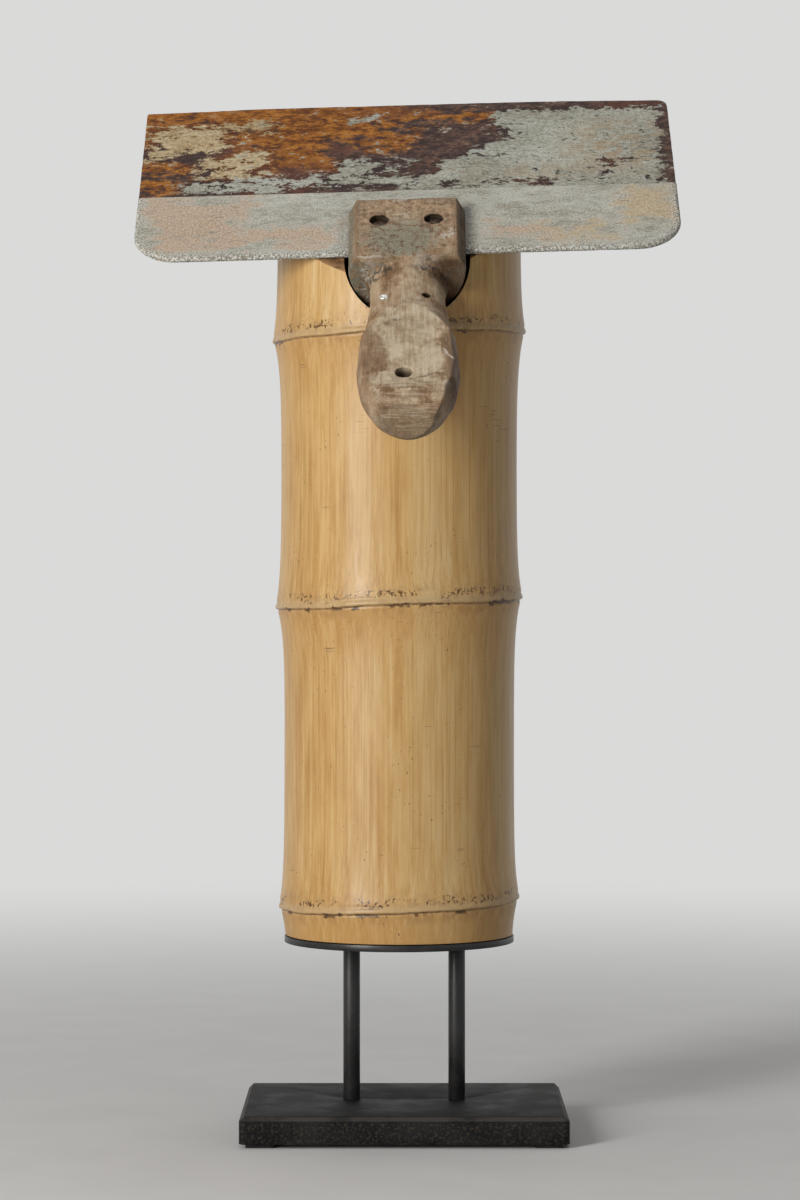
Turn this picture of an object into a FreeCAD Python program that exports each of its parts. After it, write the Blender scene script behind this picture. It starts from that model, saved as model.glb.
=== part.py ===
import FreeCAD, Part
import math
import os
import re
import Sketcher

# A thick bamboo culm stands on a black steel stand: a base plate with four rubber feet, two rods
# and a disc. The culm's top is sawn at a slant, and an old plasterer's scraper lies on the slant:
# a rusty blade in a folded back strip, riveted into a wooden handle. The handle leaves through a
# notch in the culm's front lip and points forward and down at the viewer.
#
# Millimetres. The origin is on the ground, below the middle of the base plate. +Z is up, the front
# faces -Y and +X is on the viewer's right.

SIZES = {
    # Base plate
    "base_length": 152.4,
    "base_depth": 114.3,
    "base_thickness": 12.7,
    "base_corner": 3.0,
    "base_chamfer": 2.2,
    # Rubber feet
    "foot_width": 13.0,
    "foot_height": 2.0,
    "foot_inset": 9.5,
    # Rods
    "rod_diameter": 8.0,
    "rod_length": 75.5,
    "rod_spacing": 50.0,
    # Countersunk machine screws, up through the base and down through the disc into the rods
    "screw_diameter": 5.0,
    "screw_head_diameter": 9.4,
    "screw_head_height": 2.2,
    "screw_grip": 11.0,
    "thread_gap": 0.03,
    "socket_width": 3.0,
    "socket_depth": 1.4,
    # Disc under the culm
    "disc_diameter": 109.0,
    "disc_thickness": 3.0,
    # Wood plug in the culm's foot and the wood screws that hold it down on the disc
    "plug_thickness": 8.0,
    "plug_gap": 0.05,
    "plug_screw_diameter": 3.5,
    "plug_screw_head_diameter": 7.0,
    "plug_screw_head_height": 1.8,
    "plug_screw_grip": 7.0,
    "plug_screw_circle": 32.0,
    # Culm: the axis stands a little left of the rods' middle, and heights are above its foot
    "culm_offset": 2.4,
    "culm_wall": 10.0,
    "foot_radius": 52.9,
    "lower_radius": 54.5,
    "middle_radius": 56.1,
    "upper_radius": 57.8,
    "lower_node_height": 15.7,
    "middle_node_height": 157.8,
    "upper_node_height": 283.8,
    "culm_height": 396.8,
    # Node ridges: each flares out along a curve, ends in a lip and leans with the culm's growth
    "lower_ridge_radius": 57.3,
    "middle_ridge_radius": 58.9,
    "upper_ridge_radius": 60.4,
    "flare_reach": 12.5,
    "ridge_lip": 1.1,
    "ridge_edge": 1.4,
    "node_tilt": 2.3,
    # Diaphragms inside, just under each ridge
    "diaphragm_drop": 3.0,
    "diaphragm_thickness": 4.0,
    # Notch in the front lip: a round bottom and upright sides
    "notch_radius": 29.2,
    "notch_rise": 3.8,
    "notch_reach": 24.0,
    # How the scraper lies: the middle of the strip's lower front edge, and three angles
    "scraper_offset": 1.3,
    "scraper_reach": 48.0,
    "scraper_rise": 36.3,
    "slope": 40.0,
    "scraper_roll": 1.55,
    "scraper_yaw": -1.2,
    "seat_gap": 0.3,
    # Folded back strip
    "strip_length": 255.4,
    "strip_width": 52.4,
    "strip_thickness": 3.0,
    "strip_corner": 21.0,
    "strip_fold": 2.0,
    "strip_bevel": 0.9,
    # Blade: it reaches down into the fold a margin past the rivets
    "blade_inset": 0.2,
    "blade_thickness": 0.8,
    "blade_margin": 5.7,
    "blade_left": 76.3,
    "blade_right": 75.3,
    "blade_bow": 1.6,
    "blade_corner": 5.0,
    # Handle's head, measured from the strip's lower edge and front face
    "head_above": 32.3,
    "head_below": 15.7,
    "head_width": 54.6,
    "head_face_width": 47.2,
    "head_face_height": 8.4,
    "head_round_height": 1.0,
    "slot_gap": 0.2,
    # Handle's shoulder, throat, neck and swell: distance below the strip's edge, width, front and
    # back of each section. Then the turned bulb: its axis below the strip's face, its palm end, its
    # widest place and how far the tip lies past that
    "shoulder_at": 10.0,
    "shoulder_width": 39.0,
    "shoulder_front": 7.6,
    "shoulder_back": 24.0,
    "throat_at": 20.0,
    "throat_width": 36.4,
    "throat_front": 5.4,
    "throat_back": 23.0,
    "neck_at": 31.0,
    "neck_width": 34.8,
    "neck_front": 3.6,
    "neck_back": 15.6,
    "swell_at": 50.0,
    "swell_width": 39.0,
    "swell_front": 5.8,
    "swell_back": 22.5,
    "grip_axis": 7.2,
    "palm_at": 66.0,
    "palm_width": 44.4,
    "bulb_at": 88.0,
    "bulb_width": 46.8,
    "bulb_end": 40.5,
    # Flats worn on the bulb, one after another: its front, the bevel below that, and its end
    "flat_at": 47.0,
    "flat_height": 5.0,
    "flat_slope": 2.6,
    "bevel_at": 107.0,
    "bevel_slope": 35.0,
    "end_at": 118.7,
    "end_slope": 75.0,
    # Hanging hole, drilled part of the way
    "hang_offset": 1.7,
    "hang_at": 97.0,
    "hang_diameter": 7.0,
    "hang_depth": 6.0,
    # Rivets through handle, strip and blade, with a washer under each clenched tail
    "rivet_spacing": 25.4,
    "rivet_height": 15.1,
    "rivet_diameter": 4.8,
    "rivet_gap": 0.05,
    "rivet_head_diameter": 7.6,
    "rivet_head_height": 1.8,
    "rivet_recess_diameter": 8.3,
    "rivet_recess_depth": 5.0,
    "rivet_seat": 20.0,
    "rivet_tail_diameter": 6.6,
    "rivet_tail_height": 1.3,
    "washer_diameter": 9.5,
    "washer_thickness": 1.2,
    "washer_recess": 10.0,
    # Nail in the neck, and the empty hole beside it
    "nail_offset": 10.6,
    "nail_at": 38.0,
    "nail_diameter": 2.0,
    "nail_length": 14.0,
    "nail_head_diameter": 4.2,
    "nail_head_thickness": 0.8,
    "nail_height": 1.6,
    "empty_hole_offset": 8.6,
    "empty_hole_diameter": 3.2,
    "empty_hole_depth": 9.0,
    # Locating pin in the notch's bottom, up into the neck
    "pin_diameter": 4.0,
    "pin_wall_offset": 5.0,
    "pin_depth": 18.0,
    "pin_stand": 13.0,
    "pin_gap": 0.05,
    "pin_end_gap": 0.5,
}

# Heights and places that follow from the sizes
BASE_TOP = "foot_height + base_thickness"
DISC_UNDERSIDE = f"({BASE_TOP} + rod_length)"
CULM_FOOT = f"({DISC_UNDERSIDE} + disc_thickness)"
CULM_AXIS_X = "-culm_offset"
LOWER_NODE = f"({CULM_FOOT} + lower_node_height)"
MIDDLE_NODE = f"({CULM_FOOT} + middle_node_height)"
UPPER_NODE = f"({CULM_FOOT} + upper_node_height)"
NOTCH_BOTTOM = f"({UPPER_NODE} + notch_rise)"
BLADE_LENGTH = "(strip_length - 2 * blade_inset)"
PIN_Y = "-(upper_radius - pin_wall_offset)"
BEVEL_HEIGHT = "flat_height - (bevel_at - flat_at) * tan(flat_slope)"

doc = FreeCAD.newDocument("CulmAndScraper")
parts = []


def make_sheet():
    """Put every driving size in a spreadsheet, one named cell each."""
    sheet = doc.addObject("Spreadsheet::Sheet", "Sizes")
    for row, (name, value) in enumerate(SIZES.items(), start=1):
        sheet.set(f"A{row}", name)
        sheet.set(f"B{row}", str(value))
        sheet.setAlias(f"B{row}", name)
    doc.recompute()


def formula(text):
    """Turn the names of sizes in a formula into references to the sheet."""
    def refer(match):
        word = match.group()
        return f"Sizes.{word}" if word in SIZES else word
    return re.sub(r"[a-z][a-z_]*", refer, text)


SHORT_NAMES = {
    "x": "Placement.Base.x",
    "y": "Placement.Base.y",
    "z": "Placement.Base.z",
    "angle": "Placement.Rotation.Angle",
}


def bind(item, **formulas):
    """Tie an object's properties to formulas in the sheet's names."""
    for name, text in formulas.items():
        item.setExpression(SHORT_NAMES.get(name, name), formula(text))
    return item


def make(kind, name, turn=None, **formulas):
    """Add an object, turned by a fixed rotation if one is given, with sizes from the sheet."""
    item = doc.addObject(kind, name)
    if turn is not None:
        item.Placement.Rotation = turn
    return bind(item, **formulas)


def cut(name, base, *tools):
    """Cut one or more tools out of a base shape."""
    item = doc.addObject("Part::Cut", name)
    item.Base = base
    item.Tool = tools[0] if len(tools) == 1 else fuse(name + "Tools", *tools)
    return item


def fuse(name, *shapes):
    """Join shapes that overlap or share faces."""
    item = doc.addObject("Part::MultiFuse", name)
    item.Shapes = list(shapes)
    item.Refine = True
    return item


def group(name, *shapes):
    """Keep several separate solids together as one sub-part."""
    item = doc.addObject("Part::Compound", name)
    item.Links = list(shapes)
    return item


def finish(item, node):
    """Name a finished sub-part and list it for writing."""
    item.Label = node
    parts.append(item)
    return item


def new_body(name):
    """Start a body and return it with its origin planes by role."""
    body = doc.addObject("PartDesign::Body", name)
    planes = {feature.Role: feature for feature in body.Origin.OriginFeatures}
    return body, planes


def new_sketch(body, plane, name):
    """Start a sketch on one of a body's origin planes."""
    sketch = body.newObject("Sketcher::SketchObject", name)
    sketch.AttachmentSupport = [(plane, "")]
    sketch.MapMode = "FlatFace"
    return sketch


def constrain(sketch, name, text, *constraint):
    """Add a dimension to a sketch and tie it to a formula."""
    index = sketch.addConstraint(Sketcher.Constraint(*constraint))
    sketch.renameConstraint(index, name)
    sketch.setExpression(f"Constraints.{name}", formula(text))


def join_ends(sketch, pairs):
    """Make the named ends of sketch edges coincide."""
    for first, first_end, second, second_end in pairs:
        sketch.addConstraint(
            Sketcher.Constraint("Coincident", first, first_end, second, second_end)
        )


def segment(sketch, start, end):
    """Draw a line between two rough points; constraints move it into place."""
    return sketch.addGeometry(Part.LineSegment(FreeCAD.Vector(*start), FreeCAD.Vector(*end)), False)


def circle_at(sketch, name, radius, across, up):
    """Draw a circle with a tied radius and centre; 1 is an edge's start, 3 its centre."""
    rough = Part.Circle(FreeCAD.Vector(10, 10, 0), FreeCAD.Vector(0, 0, 1), 2)
    index = sketch.addGeometry(rough, False)
    constrain(sketch, name + "_radius", radius, "Radius", index, 2)
    constrain(sketch, name + "_across", across, "DistanceX", -1, 1, index, 3, 10)
    constrain(sketch, name + "_up", up, "DistanceY", -1, 1, index, 3, 10)
    return index


def loft(name, sections, ruled=True):
    """Solid through closed outlines, with straight stretches between them when ruled."""
    item = doc.addObject("Part::Loft", name)
    item.Sections = sections
    item.Solid = True
    item.Ruled = ruled
    return item


def edges_where(shape, test):
    """Name the edges of a shape whose two ends and middle all pass a test."""
    found = []
    for number, edge in enumerate(shape.Edges, start=1):
        points = [vertex.Point for vertex in edge.Vertexes]
        points.append(edge.valueAt((edge.FirstParameter + edge.LastParameter) / 2))
        if all(test(point) for point in points):
            found.append(f"Edge{number}")
    return found


# Turns used more than once: a profile drawn flat stands up across the handle, and a screw or
# countersink that is drawn pointing up hangs head up instead
UPRIGHT = FreeCAD.Rotation(FreeCAD.Vector(1, 0, 0), 90)
UPSIDE_DOWN = FreeCAD.Rotation(FreeCAD.Vector(1, 0, 0), 180)

# The scraper is drawn lying flat, strip's lower edge along X at the origin and blade towards +Y,
# and this placement lays it on the culm's slanted top
LAID = (
    "create(<<placement>>;"
    f" create(<<vector>>; scraper_offset; -scraper_reach; {UPPER_NODE} + scraper_rise);"
    " create(<<rotation>>; scraper_yaw; -scraper_roll; slope))"
)


def lay(item):
    """Place a piece that was drawn in the scraper's own frame on the culm's slant."""
    item.setExpression("Placement", formula(LAID))
    return item


def screw(name, x, y, z, length, points_up, kind):
    """Countersunk screw with a hexagon socket; z is its head's flat face."""
    prefix = "plug_screw" if kind == "wood" else "screw"
    head = make("Part::Cone", name + "Head", Radius1=f"{prefix}_head_diameter / 2",
                Radius2=f"{prefix}_diameter / 2", Height=f"{prefix}_head_height")
    shank = make("Part::Cylinder", name + "Shank", Radius=f"{prefix}_diameter / 2", Height=length)
    socket = make("Part::Prism", name + "Socket", Circumradius="socket_width / sqrt(3)",
                  Height="socket_depth")
    socket.Polygon = 6
    item = cut(name, fuse(name + "Blank", head, shank), socket)
    if not points_up:
        item.Placement.Rotation = UPSIDE_DOWN
    return bind(item, x=x, y=y, z=z)


def screw_hole(name, x, y, z, length, points_up, kind):
    """The room that such a screw takes: its head exactly, and its shank with a thread's gap."""
    prefix = "plug_screw" if kind == "wood" else "screw"
    head = make("Part::Cone", name + "Sink", Radius1=f"{prefix}_head_diameter / 2",
                Radius2=f"{prefix}_diameter / 2", Height=f"{prefix}_head_height")
    shank = make("Part::Cylinder", name + "Drill", Radius=f"{prefix}_diameter / 2 + thread_gap",
                 Height=length)
    item = fuse(name, head, shank)
    if not points_up:
        item.Placement.Rotation = UPSIDE_DOWN
    return bind(item, x=x, y=y, z=z)


SIDES = {"left": "-1", "right": "1"}
BASE_SCREW_LENGTH = "(base_thickness + screw_grip)"
DISC_SCREW_LENGTH = "(disc_thickness + screw_grip)"
PLUG_SCREW_LENGTH = "(disc_thickness + plug_screw_grip)"
PLUG_SCREW_TURNS = {"front": "270", "back": "90"}


def rod_x(sign):
    return f"{sign} * rod_spacing / 2"


def plug_screw_x(turn):
    return f"{CULM_AXIS_X} + plug_screw_circle * cos({turn})"


def plug_screw_y(turn):
    return f"plug_screw_circle * sin({turn})"


def make_base_plate():
    """Steel plate with rounded corners, a chamfered top edge and two countersunk holes below."""
    body, planes = new_body("BasePlate")
    outline = new_sketch(body, planes["XY_Plane"], "BaseOutline")
    corners = [(-20, -10), (20, -10), (20, 10), (-20, 10)]
    lines = [segment(outline, corners[i], corners[(i + 1) % 4]) for i in range(4)]
    join_ends(outline, [(lines[i], 2, lines[(i + 1) % 4], 1) for i in range(4)])
    for line, direction in zip(lines, ("Horizontal", "Vertical", "Horizontal", "Vertical")):
        outline.addConstraint(Sketcher.Constraint(direction, line))
    outline.addConstraint(Sketcher.Constraint("Symmetric", lines[0], 1, lines[2], 1, -1, 1))
    constrain(outline, "across", "base_length", "DistanceX", lines[0], 1, lines[0], 2, 40)
    constrain(outline, "along", "base_depth", "DistanceY", lines[1], 1, lines[1], 2, 20)
    plate = body.newObject("PartDesign::Pad", "BasePad")
    plate.Profile = outline
    bind(plate, Length="base_thickness")
    doc.recompute()
    thickness = plate.Length.Value
    corner = body.newObject("PartDesign::Fillet", "BaseCorners")
    upright = [
        f"Edge{number}" for number, edge in enumerate(plate.Shape.Edges, start=1)
        if abs(edge.Vertexes[0].Z - edge.Vertexes[1].Z) > thickness / 2
    ]
    corner.Base = (plate, upright)
    bind(corner, Radius="base_corner")
    doc.recompute()
    rim = body.newObject("PartDesign::Chamfer", "BaseChamfer")
    rim.Base = (corner, edges_where(corner.Shape, lambda point: point.z > thickness - 0.01))
    bind(rim, Size="base_chamfer")
    doc.recompute()
    centres = new_sketch(body, planes["XY_Plane"], "ScrewCentres")
    for side, sign in SIDES.items():
        circle_at(centres, side, "screw_diameter / 2", rod_x(sign), "0")
    holes = body.newObject("PartDesign::Hole", "ScrewHoles")
    holes.Profile = centres
    holes.DepthType = "ThroughAll"
    holes.Reversed = True
    holes.HoleCutType = "Countersink"
    holes.HoleCutCustomValues = True
    sink_angle = "2 * atan((screw_head_diameter - screw_diameter) / 2 / screw_head_height)"
    bind(holes, Diameter="screw_diameter + 2 * thread_gap", HoleCutDiameter="screw_head_diameter",
         HoleCutCountersinkAngle=sink_angle)
    doc.recompute()
    if holes.Shape.Volume > rim.Shape.Volume - 1:
        raise RuntimeError("the base plate's screw holes cut nothing")
    body.Tip = holes
    bind(body, z="foot_height")
    return finish(body, "base_plate")


def make_feet():
    """Four rubber feet, one stuck under each corner of the plate."""
    for end, end_sign in {"front": "-1", "back": "1"}.items():
        for side, side_sign in SIDES.items():
            foot = make(
                "Part::Box", f"{end}_{side}_foot",
                Length="foot_width", Width="foot_width", Height="foot_height",
                x=f"{side_sign} * (base_length / 2 - foot_inset) - foot_width / 2",
                y=f"{end_sign} * (base_depth / 2 - foot_inset) - foot_width / 2",
            )
            finish(foot, f"{end}_{side}_foot")


def make_rods():
    """Two upright rods, drilled and tapped at both ends."""
    for side, sign in SIDES.items():
        name = side.title()
        rod = make("Part::Cylinder", name + "RodBlank", Radius="rod_diameter / 2",
                   Height="rod_length")
        low = make("Part::Cylinder", name + "RodLowBore", Height="screw_grip + 1",
                   Radius="screw_diameter / 2 + thread_gap")
        high = make("Part::Cylinder", name + "RodHighBore", Height="screw_grip + 1",
                    Radius="screw_diameter / 2 + thread_gap", z="rod_length - screw_grip - 1")
        item = cut(name + "Rod", rod, low, high)
        bind(item, x=rod_x(sign), z=BASE_TOP)
        finish(item, f"{side}_rod")


def make_stand_screws():
    """Screws up through the base and down through the disc, one of each to a rod."""
    base_screws = []
    disc_screws = []
    for side, sign in SIDES.items():
        name = side.title()
        base_screws.append(screw(name + "BaseScrew", rod_x(sign), "0", "foot_height",
                                 BASE_SCREW_LENGTH, True, "machine"))
        disc_screws.append(screw(name + "DiscScrew", rod_x(sign), "0", CULM_FOOT,
                                 DISC_SCREW_LENGTH, False, "machine"))
    finish(group("BaseScrews", *base_screws), "base_screws")
    finish(group("DiscScrews", *disc_screws), "disc_screws")


def make_disc():
    """Round plate under the culm, countersunk above for the rods and below for the plug."""
    blank = make("Part::Cylinder", "DiscBlank", Radius="disc_diameter / 2",
                 Height="disc_thickness", x=CULM_AXIS_X, z=DISC_UNDERSIDE)
    holes = [
        screw_hole(side.title() + "DiscHole", rod_x(sign), "0", CULM_FOOT, DISC_SCREW_LENGTH,
                   False, "machine")
        for side, sign in SIDES.items()
    ]
    holes += [
        screw_hole(side.title() + "DiscPlugHole", plug_screw_x(turn), plug_screw_y(turn),
                   DISC_UNDERSIDE, PLUG_SCREW_LENGTH, True, "wood")
        for side, turn in PLUG_SCREW_TURNS.items()
    ]
    finish(cut("Disc", blank, *holes), "support_disc")


def make_plug():
    """Wooden disc glued in the culm's foot, and the two screws that hold it to the disc."""
    blank = make("Part::Cylinder", "PlugBlank", Height="plug_thickness", x=CULM_AXIS_X,
                 Radius="lower_radius - culm_wall - plug_gap", z=CULM_FOOT)
    screws = []
    holes = []
    for side, turn in PLUG_SCREW_TURNS.items():
        place = (plug_screw_x(turn), plug_screw_y(turn), DISC_UNDERSIDE, PLUG_SCREW_LENGTH)
        screws.append(screw(side.title() + "PlugScrew", *place, True, "wood"))
        holes.append(screw_hole(side.title() + "PlugHole", *place, True, "wood"))
    finish(cut("Plug", blank, *holes), "foot_plug")
    finish(group("PlugScrews", *screws), "plug_screws")


# Where the culm's sections stand beside a ridge, in flare reaches
FLARE_STEPS = (0.6, 1.6, 3.6)


def ring(name, height, radius, tilt_share):
    """A circle round the culm's axis, leaning by a share of the nodes' tilt."""
    circle = make("Part::Circle", name, Radius=radius, x=CULM_AXIS_X, z=height)
    circle.Placement.Rotation = FreeCAD.Rotation(FreeCAD.Vector(0, -1, 0), 1)
    return bind(circle, angle=f"node_tilt * {tilt_share}")


def flare_rings(name, node, plain_radius, ridge_radius, side):
    """Rings from a ridge out to plain culm: side is 1 above the ridge and -1 below it."""
    start = "0" if side > 0 else "ridge_edge"
    top = ridge_radius if side > 0 else f"({ridge_radius} - ridge_lip)"
    rings = [ring(f"{name}Edge", f"{node} + {side} * {start}", top, 1)]
    for step in FLARE_STEPS:
        left_over = 0 if step == FLARE_STEPS[-1] else f"exp(-{step})"
        share = 1 - step / FLARE_STEPS[-1]
        rings.append(ring(
            f"{name}Flare{round(step * 10)}",
            f"{node} + {side} * ({start} + {step} * flare_reach)",
            f"{plain_radius} + ({top} - {plain_radius}) * {left_over}",
            round(share, 3),
        ))
    return rings if side > 0 else rings[::-1]


def ridge_lip(name, node, ridge_radius):
    """The lip under a ridge, a short step out from the flare below to the ridge's edge."""
    low = ring(f"{name}LipLow", f"{node} - ridge_edge", f"{ridge_radius} - ridge_lip", 1)
    high = ring(f"{name}LipHigh", node, ridge_radius, 1)
    return loft(f"{name}Lip", [low, high])


NODES = (
    ("Lower", LOWER_NODE, "lower_ridge_radius", "foot_radius", "lower_radius"),
    ("Middle", MIDDLE_NODE, "middle_ridge_radius", "lower_radius", "middle_radius"),
    ("Upper", UPPER_NODE, "upper_ridge_radius", "middle_radius", "upper_radius"),
)


def make_culm_blank():
    """The culm's outside from below its foot to above its top, one loft for each internode."""
    pieces = []
    below_foot = ring("FootEnd", f"{LOWER_NODE} - 4 * flare_reach", "foot_radius", 0)
    rings = [below_foot]
    for name, node, ridge, radius_below, radius_above in NODES:
        below = flare_rings(f"{name}Below", node, radius_below, ridge, -1)
        if rings == [below_foot]:
            rings = [below_foot] + below[1:]
        else:
            rings += below
        pieces.append(loft(f"{name}Internode", rings))
        pieces.append(ridge_lip(name, node, ridge))
        rings = flare_rings(f"{name}Above", node, radius_above, ridge, 1)
    above_top = ring("TopEnd", f"{CULM_FOOT} + culm_height + flare_reach", "upper_radius", 0)
    pieces.append(loft("TopInternode", rings + [above_top]))
    return fuse("CulmBlank", *pieces)


def chamber(name, low, high, radius):
    """A hollow between two diaphragms."""
    return make("Part::Cylinder", name, Radius=f"{radius} - culm_wall", x=CULM_AXIS_X,
                Height=f"{high} - {low}", z=low)


def make_notch_tool():
    """The notch's outline seen from the front, drawn out through the front wall."""
    outline = doc.addObject("Sketcher::SketchObject", "NotchOutline")
    arc = outline.addGeometry(
        Part.ArcOfCircle(Part.Circle(FreeCAD.Vector(0, 28, 0), FreeCAD.Vector(0, 0, 1), 28),
                         math.radians(180), math.radians(360)), False)
    right = segment(outline, (28, 28), (28, 130))
    top = segment(outline, (28, 130), (-28, 130))
    left = segment(outline, (-28, 130), (-28, 28))
    join_ends(outline, [(right, 2, top, 1), (top, 2, left, 1)])
    outline.addConstraint(Sketcher.Constraint("Tangent", arc, 2, right, 1))
    outline.addConstraint(Sketcher.Constraint("Tangent", left, 2, arc, 1))
    outline.addConstraint(Sketcher.Constraint("Vertical", right))
    outline.addConstraint(Sketcher.Constraint("Vertical", left))
    outline.addConstraint(Sketcher.Constraint("PointOnObject", arc, 3, -2))
    outline.addConstraint(Sketcher.Constraint("Horizontal", top))
    constrain(outline, "radius", "notch_radius", "Radius", arc, 28)
    constrain(outline, "centre", "notch_radius", "DistanceY", -1, 1, arc, 3, 28)
    constrain(outline, "height", "culm_height - upper_node_height", "DistanceY", -1, 1, top, 1, 130)
    outline.Placement.Rotation = UPRIGHT
    bind(outline, x="scraper_offset", y="-notch_reach", z=NOTCH_BOTTOM)
    tool = doc.addObject("Part::Extrusion", "NotchTool")
    tool.Base = outline
    tool.DirMode = "Custom"
    tool.Dir = FreeCAD.Vector(0, -1, 0)
    tool.Solid = True
    return bind(tool, LengthFwd="2 * upper_radius - notch_reach")


def make_culm():
    """The culm: hollow between its diaphragms, sawn square below and at a slant above."""
    blank = make_culm_blank()
    below_foot = make("Part::Cylinder", "BelowFoot", Radius="disc_diameter", x=CULM_AXIS_X,
                      Height="disc_diameter", z=f"{CULM_FOOT} - disc_diameter")
    foot_hollow = make("Part::Cylinder", "FootHollow", Radius="lower_radius - culm_wall",
                       Height="lower_node_height - diaphragm_drop - diaphragm_thickness + 1",
                       x=CULM_AXIS_X, z=f"{CULM_FOOT} - 1")
    hollows = [
        chamber("LowerChamber", f"({LOWER_NODE} - diaphragm_drop)",
                f"({MIDDLE_NODE} - diaphragm_drop - diaphragm_thickness)", "lower_radius"),
        chamber("MiddleChamber", f"({MIDDLE_NODE} - diaphragm_drop)",
                f"({UPPER_NODE} - diaphragm_drop - diaphragm_thickness)", "middle_radius"),
        chamber("MouthChamber", f"({UPPER_NODE} - diaphragm_drop)",
                f"({CULM_FOOT} + culm_height + flare_reach)", "upper_radius"),
    ]
    above_top = make("Part::Cylinder", "AboveTop", Radius="disc_diameter", x=CULM_AXIS_X,
                     Height="disc_diameter", z=f"{CULM_FOOT} + culm_height")
    slant = make("Part::Box", "SlantTool", Length="2 * strip_length", Width="2 * strip_length",
                 Height="strip_length", x="-strip_length", y="-strip_length",
                 z="-(strip_thickness + seat_gap)")
    laid_slant = lay(group("LaidSlantTool", slant))
    pin_hole = make("Part::Cylinder", "WallPinHole", Radius="pin_diameter / 2 + thread_gap",
                    Height="pin_depth + upper_radius", x="scraper_offset", y=PIN_Y,
                    z=f"{NOTCH_BOTTOM} - pin_depth")
    item = cut("Culm", blank, below_foot, foot_hollow, *hollows, above_top, laid_slant,
               make_notch_tool(), pin_hole)
    finish(item, "bamboo_culm")


def make_pin():
    """Steel pin that stands in the wall at the notch's bottom and holds the neck."""
    pin = make("Part::Cylinder", "LocatingPin", Radius="pin_diameter / 2",
               Height="pin_depth + pin_stand", x="scraper_offset", y=PIN_Y,
               z=f"{NOTCH_BOTTOM} - pin_depth")
    finish(pin, "locating_pin")


def rivet_bores(name, radius, low, high):
    """Two upright bores at the rivets' places, from one height to another."""
    return [
        make("Part::Cylinder", name + side.title(), Radius=radius, Height=f"{high} - ({low})",
             x=f"{sign} * rivet_spacing / 2", y="rivet_height", z=low)
        for side, sign in SIDES.items()
    ]


def make_head():
    """The handle's head: flat face, bevelled shoulders and a round underside."""
    outline = doc.addObject("Sketcher::SketchObject", "HeadOutline")
    face = segment(outline, (-23, 8), (23, 8))
    right = segment(outline, (23, 8), (27, 1))
    arc = outline.addGeometry(
        Part.ArcOfCircle(Part.Circle(FreeCAD.Vector(0, 1, 0), FreeCAD.Vector(0, 0, 1), 27),
                         math.radians(180), math.radians(360)), False)
    left = segment(outline, (-27, 1), (-23, 8))
    join_ends(outline, [(face, 2, right, 1), (right, 2, arc, 2), (arc, 1, left, 1),
                        (left, 2, face, 1)])
    outline.addConstraint(Sketcher.Constraint("Symmetric", face, 1, face, 2, -2))
    outline.addConstraint(Sketcher.Constraint("Horizontal", arc, 1, arc, 3))
    outline.addConstraint(Sketcher.Constraint("Horizontal", arc, 2, arc, 3))
    outline.addConstraint(Sketcher.Constraint("PointOnObject", arc, 3, -2))
    constrain(outline, "face", "head_face_width", "DistanceX", face, 1, face, 2, 46)
    constrain(outline, "face_height", "head_face_height", "DistanceY", -1, 1, face, 1, 8)
    constrain(outline, "round", "head_width / 2", "Radius", arc, 27)
    constrain(outline, "round_height", "head_round_height", "DistanceY", -1, 1, arc, 3, 1)
    outline.Placement.Rotation = UPRIGHT
    bind(outline, y="-head_below")
    head = doc.addObject("Part::Extrusion", "HeadBlock")
    head.Base = outline
    head.DirMode = "Custom"
    head.Dir = FreeCAD.Vector(0, 1, 0)
    head.Solid = True
    return bind(head, LengthFwd="head_below + head_above")


# Sections of the turned bulb's end, as shares of the way from its widest place to its tip
END_SHARES = (0.3, 0.55, 0.75, 0.9)


def bulb_section(name, at, radius):
    """A circle round the bulb's axis."""
    return make("Part::Circle", name + "Section", turn=UPRIGHT, y=f"-({at})", Radius=radius,
                z="-grip_axis")


def make_neck():
    """Shoulder, throat, neck and swell: a smooth loft through ellipses to the round palm."""
    sections = []
    for name in ("shoulder", "throat", "neck", "swell"):
        sections.append(make(
            "Part::Ellipse", name.title() + "Section", turn=UPRIGHT, y=f"-{name}_at",
            MajorRadius=f"{name}_width / 2", MinorRadius=f"({name}_front + {name}_back) / 2",
            z=f"({name}_front - {name}_back) / 2",
        ))
    sections.append(bulb_section("NeckEnd", "palm_at", "palm_width / 2"))
    return loft("Neck", sections, ruled=False)


def make_bulb():
    """The turned bulb: it widens from the palm, and its end narrows like a pointed arch."""
    arch = "((bulb_end^2 + (bulb_width / 2)^2) / bulb_width)"
    sections = [
        bulb_section("Palm", "palm_at", "palm_width / 2"),
        bulb_section("Bulb", "bulb_at", "bulb_width / 2"),
    ]
    for share in END_SHARES:
        sections.append(bulb_section(
            f"End{round(share * 100)}", f"bulb_at + {share} * bulb_end",
            f"sqrt({arch}^2 - ({share} * bulb_end)^2) - {arch} + bulb_width / 2"))
    return loft("BulbTurned", sections)


def worn_flat(name, at, height, slope):
    """All that lies in front of a plane, which falls away from a place at a slope."""
    item = make("Part::Box", name, Length="bulb_width", Width="bulb_at", Height="bulb_width",
                x="bulb_width / 2", y=f"-{at}", z=height)
    item.Placement.Rotation = FreeCAD.Rotation(180, 0, -SIZES[slope])
    return item


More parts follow.
